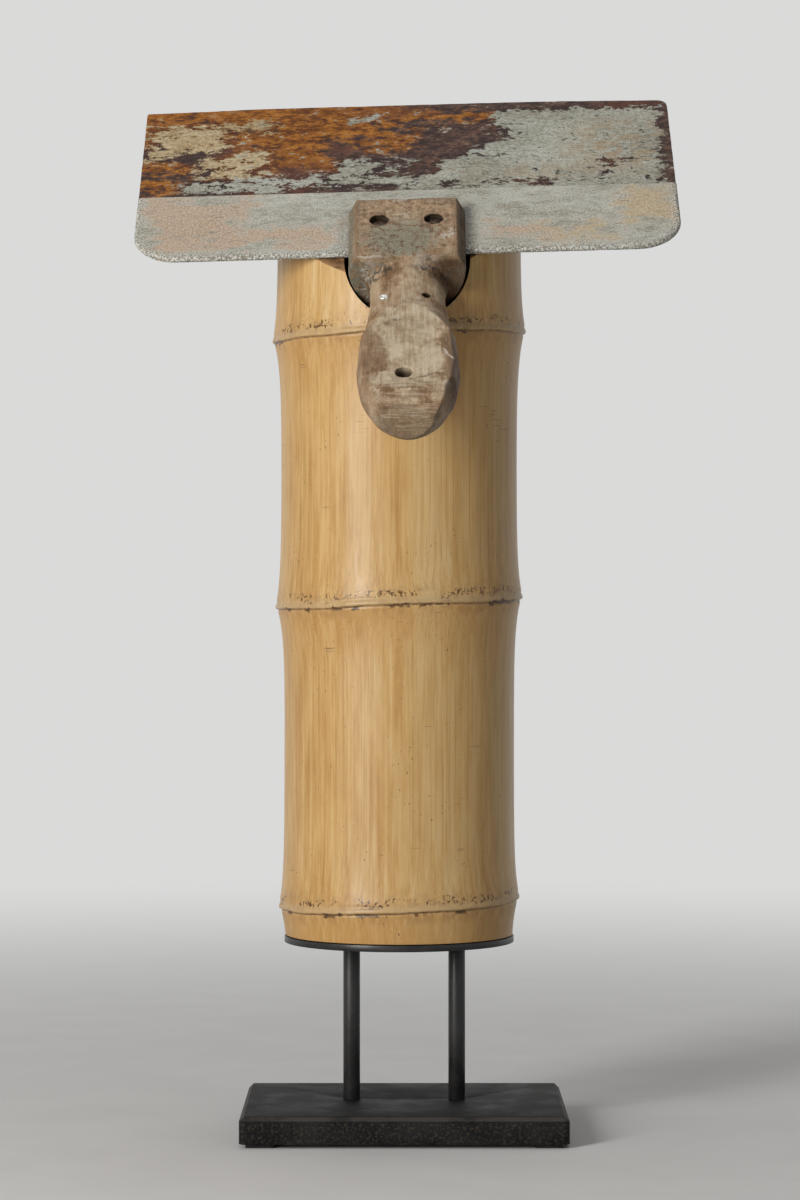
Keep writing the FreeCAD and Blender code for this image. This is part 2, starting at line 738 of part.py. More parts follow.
def make_handle():
    """Wooden handle, drawn flat, then laid on the slant and drilled for the pin."""
    blank = fuse("HandleBlank", make_head(), make_neck(), make_bulb())
    flats = [
        worn_flat("FrontFlat", "flat_at", "flat_height", "flat_slope"),
        worn_flat("BevelFlat", "bevel_at", BEVEL_HEIGHT, "bevel_slope"),
        worn_flat("EndFlat", "end_at", f"{BEVEL_HEIGHT} - (end_at - bevel_at) * tan(bevel_slope)",
                  "end_slope"),
    ]
    slot = make("Part::Box", "StripSlot", Length="head_width + 2", Height="strip_thickness",
                Width="head_above + slot_gap + 1", x="-head_width / 2 - 1", y="-slot_gap",
                z="-strip_thickness")
    shanks = rivet_bores("HandleRivetBore", "rivet_diameter / 2 + rivet_gap",
                         "-head_width", "head_width")
    recesses = rivet_bores("RivetRecess", "rivet_recess_diameter / 2",
                           "head_face_height - rivet_recess_depth", "head_width")
    seats = rivet_bores("WasherSeat", "washer_recess / 2", "-head_width", "-rivet_seat")
    nail_bore = make("Part::Cylinder", "NailBore", Radius="nail_diameter / 2 + thread_gap",
                     Height="nail_length", x="-nail_offset", y="-nail_at",
                     z="nail_height - nail_length")
    nail_seat = make("Part::Cylinder", "NailSeat", Radius="nail_head_diameter / 2 + thread_gap",
                     Height="head_face_height", x="-nail_offset", y="-nail_at", z="nail_height")
    empty_hole = make("Part::Cylinder", "EmptyNailHole", Radius="empty_hole_diameter / 2",
                      Height="empty_hole_depth + head_face_height", x="empty_hole_offset",
                      y="-nail_at", z="neck_front - empty_hole_depth")
    hang_hole = make("Part::Cylinder", "HangHole", Radius="hang_diameter / 2",
                     Height="hang_depth + head_face_height", x="-hang_offset", y="-hang_at",
                     z="flat_height - hang_depth - (hang_at - flat_at) * tan(flat_slope)")
    laid = lay(cut("HandleDrawnFlat", blank, *flats, slot, *shanks, *recesses, *seats,
                   nail_bore, nail_seat, empty_hole, hang_hole))
    pin_bore = make("Part::Cylinder", "NeckPinBore", Radius="pin_diameter / 2 + pin_gap",
                    Height="pin_stand + pin_end_gap + notch_radius", x="scraper_offset", y=PIN_Y,
                    z=f"{NOTCH_BOTTOM} - notch_radius")
    finish(cut("Handle", laid, pin_bore), "handle")


def make_back_strip():
    """Steel strip folded over the blade, with rounded lower corners and two rivet holes."""
    body, planes = new_body("BackStrip")
    outline = new_sketch(body, planes["XY_Plane"], "StripOutline")
    top = segment(outline, (-50, 40), (50, 40))
    right = segment(outline, (50, 40), (50, 15))
    right_corner = outline.addGeometry(
        Part.ArcOfCircle(Part.Circle(FreeCAD.Vector(35, 15, 0), FreeCAD.Vector(0, 0, 1), 15),
                         math.radians(270), math.radians(360)), False)
    bottom = segment(outline, (35, 0), (-35, 0))
    left_corner = outline.addGeometry(
        Part.ArcOfCircle(Part.Circle(FreeCAD.Vector(-35, 15, 0), FreeCAD.Vector(0, 0, 1), 15),
                         math.radians(180), math.radians(270)), False)
    left = segment(outline, (-50, 15), (-50, 40))
    join_ends(outline, [(top, 2, right, 1), (left, 2, top, 1)])
    for first, first_end, second, second_end in (
        (right, 2, right_corner, 2), (right_corner, 1, bottom, 1),
        (bottom, 2, left_corner, 2), (left_corner, 1, left, 1),
    ):
        outline.addConstraint(
            Sketcher.Constraint("Tangent", first, first_end, second, second_end)
        )
    outline.addConstraint(Sketcher.Constraint("Vertical", right))
    outline.addConstraint(Sketcher.Constraint("Vertical", left))
    outline.addConstraint(Sketcher.Constraint("PointOnObject", bottom, 1, -1))
    outline.addConstraint(Sketcher.Constraint("PointOnObject", bottom, 2, -1))
    outline.addConstraint(Sketcher.Constraint("Symmetric", top, 1, top, 2, -2))
    outline.addConstraint(Sketcher.Constraint("Equal", left_corner, right_corner))
    constrain(outline, "across", "strip_length", "DistanceX", top, 1, top, 2, 100)
    constrain(outline, "along", "strip_width", "DistanceY", -1, 1, top, 1, 40)
    constrain(outline, "corner", "strip_corner", "Radius", right_corner, 15)
    plate = body.newObject("PartDesign::Pad", "StripPad")
    plate.Profile = outline
    plate.Reversed = True
    bind(plate, Length="strip_thickness")
    doc.recompute()
    bevel = body.newObject("PartDesign::Chamfer", "StripBevel")
    width = SIZES["strip_width"]
    lower_edges = edges_where(plate.Shape, lambda point: point.y < width - 0.01)
    flat_edges = [
        name for name in lower_edges
        if abs(plate.Shape.getElement(name).Vertexes[0].Z
               - plate.Shape.getElement(name).Vertexes[-1].Z) < 0.01
    ]
    bevel.Base = (plate, flat_edges)
    bind(bevel, Size="strip_bevel")
    slot_side = new_sketch(body, planes["YZ_Plane"], "FoldGap")
    corners = [(5, -2), (60, -2), (60, -1), (5, -1)]
    lines = [segment(slot_side, corners[i], corners[(i + 1) % 4]) for i in range(4)]
    join_ends(slot_side, [(lines[i], 2, lines[(i + 1) % 4], 1) for i in range(4)])
    for line, direction in zip(lines, ("Horizontal", "Vertical", "Horizontal", "Vertical")):
        slot_side.addConstraint(Sketcher.Constraint(direction, line))
    constrain(slot_side, "gap", "blade_thickness", "DistanceY", lines[1], 1, lines[1], 2, 1)
    constrain(slot_side, "depth", "-(strip_thickness + blade_thickness) / 2",
              "DistanceY", -1, 1, lines[0], 1, -2)
    constrain(slot_side, "fold", "strip_fold", "DistanceX", -1, 1, lines[0], 1, 5)
    constrain(slot_side, "open", "strip_width + 1", "DistanceX", -1, 1, lines[0], 2, 60)
    fold = body.newObject("PartDesign::Pocket", "BladeSlot")
    fold.Profile = slot_side
    fold.Type = "ThroughAll"
    fold.Midplane = True
    doc.recompute()
    centres = new_sketch(body, planes["XY_Plane"], "StripRivetCentres")
    for side, sign in SIDES.items():
        circle_at(centres, side, "rivet_diameter / 2 + rivet_gap",
                  f"{sign} * rivet_spacing / 2", "rivet_height")
    drill = body.newObject("PartDesign::Pocket", "StripRivetHoles")
    drill.Profile = centres
    drill.Type = "ThroughAll"
    drill.Midplane = True
    doc.recompute()
    if not drill.Shape.Volume < fold.Shape.Volume < bevel.Shape.Volume:
        raise RuntimeError("the strip's slot or rivet holes cut nothing")
    body.Tip = drill
    lay(body)
    return finish(body, "back_strip")


def make_blade():
    """Thin blade with a slightly bowed edge, one worn corner and two rivet holes."""
    body, planes = new_body("Blade")
    outline = new_sketch(body, planes["XY_Plane"], "BladeOutline")
    low = segment(outline, (-60, 10), (60, 10))
    right = segment(outline, (60, 10), (60, 50))
    edge = outline.addGeometry(
        Part.Arc(FreeCAD.Vector(60, 50, 0), FreeCAD.Vector(0, 52, 0), FreeCAD.Vector(-60, 51, 0)),
        False)
    left = segment(outline, (-60, 51), (-60, 10))
    join_ends(outline, [(low, 2, right, 1), (right, 2, edge, 1), (edge, 2, left, 1),
                        (left, 2, low, 1)])
    outline.addConstraint(Sketcher.Constraint("Symmetric", low, 1, low, 2, -2))
    outline.addConstraint(Sketcher.Constraint("Vertical", right))
    outline.addConstraint(Sketcher.Constraint("Vertical", left))
    constrain(outline, "across", BLADE_LENGTH, "DistanceX", low, 1, low, 2, 120)
    constrain(outline, "inside", "rivet_height - blade_margin", "DistanceY", -1, 1, low, 1, 10)
    constrain(outline, "right_edge", "strip_width + blade_right", "DistanceY", -1, 1, right, 2, 50)
    constrain(outline, "left_edge", "strip_width + blade_left", "DistanceY", -1, 1, left, 1, 51)
    constrain(outline, "bow", f"(({BLADE_LENGTH} / 2)^2 + blade_bow^2) / (2 * blade_bow)",
              "Radius", edge, 900)
    bind(outline, **{"AttachmentOffset.Base.z": "-(strip_thickness + blade_thickness) / 2"})
    sheet = body.newObject("PartDesign::Pad", "BladePad")
    sheet.Profile = outline
    bind(sheet, Length="blade_thickness")
    doc.recompute()
    worn = body.newObject("PartDesign::Fillet", "WornCorner")
    beyond = SIZES["strip_width"] + SIZES["blade_right"] - 0.5
    corner = edges_where(sheet.Shape, lambda point: point.x > 1 and point.y > beyond)
    worn.Base = (sheet, [
        name for name in corner
        if abs(sheet.Shape.getElement(name).Vertexes[0].Z
               - sheet.Shape.getElement(name).Vertexes[-1].Z) > 0.01
    ])
    bind(worn, Radius="blade_corner")
    doc.recompute()
    centres = new_sketch(body, planes["XY_Plane"], "BladeRivetCentres")
    for side, sign in SIDES.items():
        circle_at(centres, side, "rivet_diameter / 2 + rivet_gap",
                  f"{sign} * rivet_spacing / 2", "rivet_height")
    drill = body.newObject("PartDesign::Pocket", "BladeRivetHoles")
    drill.Profile = centres
    drill.Type = "ThroughAll"
    drill.Midplane = True
    doc.recompute()
    if drill.Shape.Volume > worn.Shape.Volume - 1:
        raise RuntimeError("the blade's rivet holes cut nothing")
    body.Tip = drill
    lay(body)
    return finish(body, "scraper_blade")


def make_rivets():
    """Two rivets with a washer each, from the face's recess to the seat underneath."""
    rivets = []
    washers = []
    head_seat = "(head_face_height - rivet_recess_depth)"
    tail_seat = "(-rivet_seat - washer_thickness)"
    for side, sign in SIDES.items():
        name = side.title()
        place = {"x": f"{sign} * rivet_spacing / 2", "y": "rivet_height"}
        head = make("Part::Cylinder", name + "RivetHead", Radius="rivet_head_diameter / 2",
                    Height="rivet_head_height", z=head_seat, **place)
        shank = make("Part::Cylinder", name + "RivetShank", Radius="rivet_diameter / 2",
                     Height=f"{head_seat} - {tail_seat}", z=tail_seat, **place)
        tail = make("Part::Cylinder", name + "RivetTail", Radius="rivet_tail_diameter / 2",
                    Height="rivet_tail_height", z=f"{tail_seat} - rivet_tail_height", **place)
        rivets.append(fuse(name + "Rivet", head, shank, tail))
        disc = make("Part::Cylinder", name + "WasherDisc", Radius="washer_diameter / 2",
                    Height="washer_thickness", z=tail_seat, **place)
        eye = make("Part::Cylinder", name + "WasherEye", Height="washer_thickness",
                   Radius="rivet_diameter / 2 + rivet_gap", z=tail_seat, **place)
        washers.append(cut(name + "Washer", disc, eye))
    finish(lay(group("Rivets", *rivets)), "handle_rivets")
    finish(lay(group("Washers", *washers)), "rivet_washers")


def make_nail():
    """The bright nail in the neck, its head just proud of the wood."""
    place = {"x": "-nail_offset", "y": "-nail_at"}
    head = make("Part::Cylinder", "NailHead", Radius="nail_head_diameter / 2",
                Height="nail_head_thickness", z="nail_height", **place)
    shank = make("Part::Cylinder", "NailShank", Radius="nail_diameter / 2",
                 Height="nail_length", z="nail_height - nail_length", **place)
    finish(lay(fuse("Nail", head, shank)), "neck_nail")


def check_document():
    """Stop if any feature failed, or a sub-part's shape is empty or not valid."""
    for item in doc.Objects:
        if "Invalid" in item.State or "Error" in item.State:
            raise RuntimeError(f"{item.Name} failed: {item.State}")
    for item in parts:
        if item.Shape.isNull() or not item.Shape.Solids or not item.Shape.isValid():
            raise RuntimeError(f"{item.Label} has no valid solid")


def write_parts():
    """Write each sub-part to a file with its own name."""
    os.makedirs("parts", exist_ok=True)
    for item in parts:
        item.Shape.exportStep(os.path.join("parts", f"{item.Label}.step"))
        box = item.Shape.BoundBox
        print(f"{item.Label}: {len(item.Shape.Solids)} solids, {item.Shape.Volume / 1000:.2f} cm3,"
              f" z {box.ZMin:.1f} to {box.ZMax:.1f}")


make_sheet()
make_base_plate()
make_feet()
make_rods()
make_stand_screws()
make_disc()
make_plug()
make_culm()
make_pin()
make_handle()
make_back_strip()
make_blade()
make_rivets()
make_nail()
doc.recompute()
check_document()
write_parts()
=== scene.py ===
import math
from collections import namedtuple
from contextlib import contextmanager
from functools import partialmethod
from types import SimpleNamespace

import bmesh
import bpy
import numpy as np
from mathutils import Euler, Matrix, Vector


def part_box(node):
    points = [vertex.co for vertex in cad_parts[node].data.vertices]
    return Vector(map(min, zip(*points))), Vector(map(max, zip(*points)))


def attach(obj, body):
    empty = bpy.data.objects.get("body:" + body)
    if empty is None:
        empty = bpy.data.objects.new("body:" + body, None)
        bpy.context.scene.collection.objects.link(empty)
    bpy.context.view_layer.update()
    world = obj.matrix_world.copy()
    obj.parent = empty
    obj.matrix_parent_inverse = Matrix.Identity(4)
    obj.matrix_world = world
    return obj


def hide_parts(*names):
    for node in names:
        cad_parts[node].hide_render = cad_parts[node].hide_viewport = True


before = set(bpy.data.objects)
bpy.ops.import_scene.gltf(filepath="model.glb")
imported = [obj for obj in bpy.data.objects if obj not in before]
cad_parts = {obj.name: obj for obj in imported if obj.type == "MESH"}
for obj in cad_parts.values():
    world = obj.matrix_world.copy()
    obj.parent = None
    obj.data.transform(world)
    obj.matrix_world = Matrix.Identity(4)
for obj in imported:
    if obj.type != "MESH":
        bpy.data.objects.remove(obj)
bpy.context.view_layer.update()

# A thick bamboo culm on a black steel stand, with a rusty plasterer's scraper lying on its slanted
# top. +Z is up, the front faces -Y and +X is on the viewer's right. The scene is in metres. Sizes
# and places of the pieces are in millimetres, and so are the coordinates that materials read.

MM = 0.001
EVEN = (1, 1, 1)

# How the scraper lies: its strip's lower front edge, and its turn
SCRAPER_ORIGIN = np.array(Vector((1.3, -48.0, 413.3)))
SCRAPER_TURN = np.array(Euler([math.radians(turn) for turn in (40.0, -1.55, -1.2)]).to_matrix())

# Culm: its nodes are ridges, with a plain radius below and above each
Node = namedtuple("Node", "level ridge below above")
NODES = (
    Node(108.9, 57.3, 52.9, 54.5), Node(251.0, 58.9, 54.5, 56.1), Node(377.0, 60.4, 56.1, 57.8),
)
CULM_X = -2.4
FOOT_Z = 93.2
TOP_Z = 490.0
WALL = 10.0
NODE_TILT = math.tan(math.radians(2.3))
TILT_REACH = 45.0
RIPPLE_REACH = 24.0
FLARE_REACH = 12.5
RIDGE_LIP = 1.1
SEAT_BELOW_STRIP = 3.3
NOTCH_X = 1.3
NOTCH_BOTTOM_Z = 380.8
NOTCH_RADIUS = 29.2
NOTCH_BACK_Y = -24.0
NOTCH_FRONT_Y = -72.0
FOOT_RECESS = 8.6
TOP_INSIDE = NODES[2].above - WALL
CUT_EDGE = 0.35
FLOOR_BELOW_NODE = 3.0
FLOOR_FILLET = 3.0
# What "ridge" says where there is no skin, and how far from a ridge "near" fades out
NO_RIDGE = 30.0
NEAR_REACH = 45.0
# The mesh's columns, and which way out from the axis each one faces
COLUMNS = 720
TURNS = np.linspace(-math.pi, math.pi, COLUMNS, endpoint=False)
OUT_X, OUT_Y = np.sin(TURNS), -np.cos(TURNS)

# Scraper, in its own frame: u along the blade, v up it, w out of its face
STRIP_HALF = 127.7
STRIP_WIDTH = 52.4
STRIP_THICKNESS = 3.0
STRIP_CORNER = 21.0
STRIP_FOLD = 1.5
STRIP_LIP = 0.9
BLADE_HALF = 127.5
BLADE_FRONT_W = -1.1
BLADE_BACK_W = -1.9
BLADE_LEFT_V = STRIP_WIDTH + 76.3
BLADE_RIGHT_V = STRIP_WIDTH + 75.3
BLADE_BOW = 1.6
BLADE_IN_FOLD = 12.0
BLADE_WORN_CORNER = 5.0
BLADE_SHARP_CORNER = 1.2
NAIL_U, NAIL_V, NAIL_W = -10.6, -38.0, 1.55
PIN_BORE = 2.25
# Holes in the handle's front: where they are, their radius, how deep the painted shade in them
# takes to grow full, and how dark it gets
HOLES = (
    (-12.7, 15.1, 4.15, 0.9, 1.0), (12.7, 15.1, 4.15, 0.9, 1.0), (8.6, -38.0, 1.6, 0.7, 0.95),
    (-1.7, -97.0, 3.5, 3.0, 0.75),
)


# Noise for the shapes

def lattice(cells, seed):
    """A pseudo-random number from 0 to 1 for each integer cell."""
    x, y, z = (cells[..., i].astype(np.int64) for i in range(3))
    mixed = (x * 73856093) ^ (y * 19349663) ^ (z * 83492791) ^ (seed * 2654435761)
    mixed = (mixed ^ (mixed >> 13)) * 1274126177 & 0x7FFFFFFF
    return ((mixed ^ (mixed >> 16)) & 0xFFFFFF) / float(0xFFFFFF)


def value_noise(points, seed):
    """Smooth noise from -1 to 1 at each point."""
    base = np.floor(points)
    part = points - base
    part = part * part * (3 - 2 * part)
    total = 0.0
    for corner in range(8):
        step = np.array([corner & 1, corner >> 1 & 1, corner >> 2 & 1])
        weight = np.prod(np.where(step, part, 1 - part), axis=-1)
        total = total + weight * lattice(base + step, seed)
    return total * 2 - 1


def fractal(points, size, octaves, seed):
    """Layered noise whose largest bumps are about size across, from about -1 to 1."""
    points = np.asarray(points, float) / size
    total, reach, scale = 0.0, 0.0, 1.0
    for octave in range(octaves):
        total = total + scale * value_noise(points * 2 ** octave, seed + octave)
        reach += scale
        scale *= 0.5
    return total / reach


# Meshes

def to_object(points):
    """Points of the scraper's frame in the object's own frame."""
    return points @ SCRAPER_TURN.T + SCRAPER_ORIGIN


def to_scraper(points):
    return (points - SCRAPER_ORIGIN) @ SCRAPER_TURN


def linked(name, data):
    """A new object in the scene from a mesh, a lamp or a camera."""
    item = bpy.data.objects.new(name, data)
    bpy.context.scene.collection.objects.link(item)
    return item


def mesh_object(name, points, faces, materials, face_material=None):
    """A mesh from points in millimetres in the object's frame."""
    mesh = bpy.data.meshes.new(name)
    mesh.from_pydata([tuple(p) for p in points * MM], [], faces)
    for material in materials:
        mesh.materials.append(material)
    if face_material is not None:
        mesh.polygons.foreach_set("material_index", face_material)
    mesh.validate()
    mesh.update()
    return linked(name, mesh)


def store(item, name, values):
    """Keep a number or a place for each vertex, for the materials to read."""
    values = np.asarray(values, np.float32)
    kind, key = ("FLOAT", "value") if values.ndim == 1 else ("FLOAT_VECTOR", "vector")
    item.data.attributes.new(name, kind, "POINT").data.foreach_set(key, values.ravel())


def grid_faces(rows, columns, closed):
    """Quads of a grid of points numbered row by row; closed joins the last column to the first."""
    faces = []
    for row in range(rows - 1):
        for column in range(columns if closed else columns - 1):
            a = row * columns + column
            b = row * columns + (column + 1) % columns
            faces.append((a, b, b + columns, a + columns))
    return faces


def smooth(item, sharp_degrees):
    item.data.shade_smooth()
    item.data.set_sharp_from_angle(angle=math.radians(sharp_degrees))


@contextmanager
def opened(mesh):
    """A mesh open to bmesh operators, and written back afterwards."""
    work = bmesh.new()
    work.from_mesh(mesh)
    yield work
    work.to_mesh(mesh)
    work.free()


def merge_close(item, distance):
    """Join vertices that coincide and drop faces that have no area."""
    with opened(item.data) as work:
        bmesh.ops.remove_doubles(work, verts=work.verts, dist=distance * MM)
        bmesh.ops.dissolve_degenerate(work, edges=work.edges, dist=distance * MM)
        bmesh.ops.recalc_face_normals(work, faces=work.faces)


def modify(item, kind, **settings):
    """Change an object's mesh by a modifier."""
    modifier = item.modifiers.new(kind.lower(), kind)
    for key, value in settings.items():
        setattr(modifier, key, value)
    graph = bpy.context.evaluated_depsgraph_get()
    mesh = bpy.data.meshes.new_from_object(item.evaluated_get(graph))
    item.modifiers.clear()
    item.data = mesh


def vectors_of(item, key):
    """The place (co) or the normal of each vertex, in the mesh's own units."""
    flat = np.empty(len(item.data.vertices) * 3, np.float32)
    item.data.vertices.foreach_get(key, flat)
    return flat.reshape(-1, 3).astype(float)


def copy_of(node, name):
    """A piece of its own with the same shape as a CAD node, its flat faces whole again."""
    item = linked(name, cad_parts[node].data.copy())
    if "custom_normal" in item.data.attributes:
        item.data.attributes.remove(item.data.attributes["custom_normal"])
    item.data.materials.clear()
    with opened(item.data) as work:
        bmesh.ops.remove_doubles(work, verts=work.verts, dist=0.002 * MM)
        bmesh.ops.dissolve_limit(
            work, angle_limit=math.radians(0.6), verts=work.verts, edges=work.edges
        )
    return item


def place(item, body, slot, *nodes):
    """Attach a piece to the body it moves with and hide the CAD nodes it stands for. The slot is
    not used.
    """
    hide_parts(*nodes)
    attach(item, body)


# Materials

BACKGROUND = (0.70, 0.70, 0.695, 1)


class ShaderTree:
    """A shader tree, built with one call for each node."""

    def __init__(self, tree):
        self.tree = tree

    def put(self, socket, value):
        """Link a node's output to a socket, or set the socket to a constant."""
        if isinstance(value, bpy.types.NodeSocket):
            self.tree.links.new(value, socket)
        elif value is not None:
            socket.default_value = value

    def node(self, kind, output=0, inputs=None, **settings):
        """An output of a new shader node of a kind, with its inputs and settings."""
        item = self.tree.nodes.new("ShaderNode" + kind)
        for key, value in settings.items():
            setattr(item, key, value)
        for key, value in (inputs or {}).items():
            self.put(item.inputs[key], value)
        return item.outputs[output]

    def step(self, value, low, high, to_low=0.0, to_high=1.0):
        """Goes smoothly from to_low to to_high as the value goes from low to high, either way."""
        return self.node("MapRange", interpolation_type="SMOOTHSTEP", inputs={
            "Value": value, "From Min": low, "From Max": high, "To Min": to_low,
            "To Max": to_high,
        })

    def math(self, operation, *values):
        """The result of an operation on one value, or on several in turn."""
        total, *rest = values
        for value in rest or [None]:
            total = self.node("Math", operation=operation, inputs={0: total, 1: value})
        return total

    add = partialmethod(math, "ADD")
    less = partialmethod(math, "SUBTRACT")
    largest = partialmethod(math, "MAXIMUM")
    smallest = partialmethod(math, "MINIMUM")

    def times(self, *values):
        return self.math("MULTIPLY", *values) if len(values) > 1 else values[0]

    def background(self, lit, share):
        """A shader that camera, glossy and transmission rays see as the background, by a share."""
        rays = (self.node("LightPath", f"Is {kind} Ray")
                for kind in ("Camera", "Glossy", "Transmission"))
        glow = self.node("Emission", inputs={"Color": BACKGROUND})
        return self.node("MixShader", inputs={
            0: self.times(share, self.largest(*rays)), 1: lit, 2: glow,
        })


class Surface(ShaderTree):
    """A procedural material. Its colour starts as a ramp, and lay adds one coat after another."""

    def __init__(self, name, specular, metallic=0.0, attribute=None):
        self.material = bpy.data.materials.new(name)
        self.material.use_nodes = True
        super().__init__(self.material.node_tree)
        self.shader = self.tree.nodes["Principled BSDF"]
        self.shader.inputs["Metallic"].default_value = metallic
        self.shader.inputs["Specular IOR Level"].default_value = specular
        self.attribute = attribute
        self.colour = None
        spot = self.tree.nodes.new("ShaderNodeSeparateXYZ")
        self.put(spot.inputs[0], self.place())
        self.u, self.v, self.w = spot.outputs

    def place(self, stretch=EVEN, offset=(0, 0, 0)):
        """The object's coordinates or the stored ones, in millimetres, stretched by a scale."""
        if self.attribute:
            start, factor = self.value(self.attribute, "Vector"), 1.0
        else:
            start, factor = self.node("TexCoord", "Object"), 1 / MM
        return self.node("Mapping", inputs={
            "Vector": start, "Location": offset,
            "Scale": tuple(factor * value for value in stretch),
        })

    def value(self, attribute, output="Fac"):
        return self.node("Attribute", output, attribute_name=attribute)

    def noise(self, stretch, size, detail=3, roughness=0.55, distortion=0.0, offset=(0, 0, 0)):
        """Noise about 0.5, with the same spread however many layers it has."""
        layers = np.power(roughness, np.arange(detail + 1))
        spread = float(layers.sum() / np.sqrt((layers ** 2).sum()))
        plain = self.node("TexNoise", "Fac", inputs={
            "Vector": self.place(stretch, offset), "Scale": 1 / size, "Detail": detail,
            "Roughness": roughness, "Distortion": distortion,
        })
        return self.add(self.times(plain, spread), 0.5 - 0.5 * spread)

    def blend(self, *pairs):
        """The sum of values, each with its weight."""
        return self.add(*(self.times(value, weight) for value, weight in pairs))

    def off(self, texture, reach):
        """How far a texture is from its mean, from about -reach / 2 to reach / 2."""
        return self.times(self.less(texture, 0.5), reach)

    def band(self, value, low, high, edge):
        """1 between low and high, fading to 0 over an edge on each side."""
        return self.times(
            self.step(value, low - edge, low + edge), self.step(value, high + edge, high - edge)
        )

    def patch(self, u, v, half_u, half_v, edge, strength=1.0):
        """A soft oval about a place: its strength inside and 0 outside, with a broad edge."""
        across = self.math("DIVIDE", self.less(self.u, u), half_u)
        up = self.math("DIVIDE", self.less(self.v, v), half_v)
        distance = self.math("SQRT", self.add(self.times(across, across), self.times(up, up)))
        return self.step(distance, 1 + edge, 1 - edge, 0.0, strength)

    def patches(self, *rows):
        return self.largest(*(self.patch(*row) for row in rows))

    def box(self, left, right, low, high, soft, lift=0.0):
        """From 1 well inside a rectangle down to -1 well outside it, and then lifted."""
        inside = self.smallest(
            self.less(self.u, left), self.less(right, self.u),
            self.less(self.v, low), self.less(high, self.v),
        )
        reach = self.smallest(self.math("DIVIDE", inside, soft), 1.0)
        return self.add(self.largest(reach, -1.0), lift)

    def boxes(self, *rows):
        return self.largest(*(self.box(*row) for row in rows))

    def ramp(self, value, *stops):
        """A colour from stops of (position, red, green, blue)."""
        item = self.tree.nodes.new("ShaderNodeValToRGB")
        self.put(item.inputs[0], value)
        elements = item.color_ramp.elements
        while len(elements) < len(stops):
            elements.new(0.5)
        for element, (position, *colour) in zip(elements, stops):
            element.position = position
            element.color = (*colour, 1.0)
        return item.outputs[0]

    def mix(self, first, second, *shares):
        """Two colours mixed. The second's share is the product of shares, and a share may be
        given as the arguments of a step."""
        item = self.tree.nodes.new("ShaderNodeMix")
        item.data_type = "RGBA"
        shares = (self.step(*share) if isinstance(share, tuple) else share for share in shares)
        self.put(item.inputs[0], self.times(*shares))
        for socket, colour in ((item.inputs[6], first), (item.inputs[7], second)):
            self.put(socket, (*colour, 1.0) if isinstance(colour, tuple) else colour)
        return item.outputs[2]

    def lay(self, colour, *shares):
        """A coat of a colour over what is there, as dense as the product of the shares."""
        self.colour = self.mix(self.colour, colour, *shares)

    def finish(self, roughness, *bumps):
        """Link colour, roughness and a chain of bumps of (height, strength, distance)."""
        self.put(self.shader.inputs["Base Color"], self.colour)
        self.put(self.shader.inputs["Roughness"], roughness)
        normal = None
        for height, strength, distance in bumps:
            normal = self.node("Bump", inputs={
                "Height": height, "Strength": strength, "Distance": distance * MM,
                "Normal": normal,
            })
        self.put(self.shader.inputs["Normal"], normal)
        return self.material


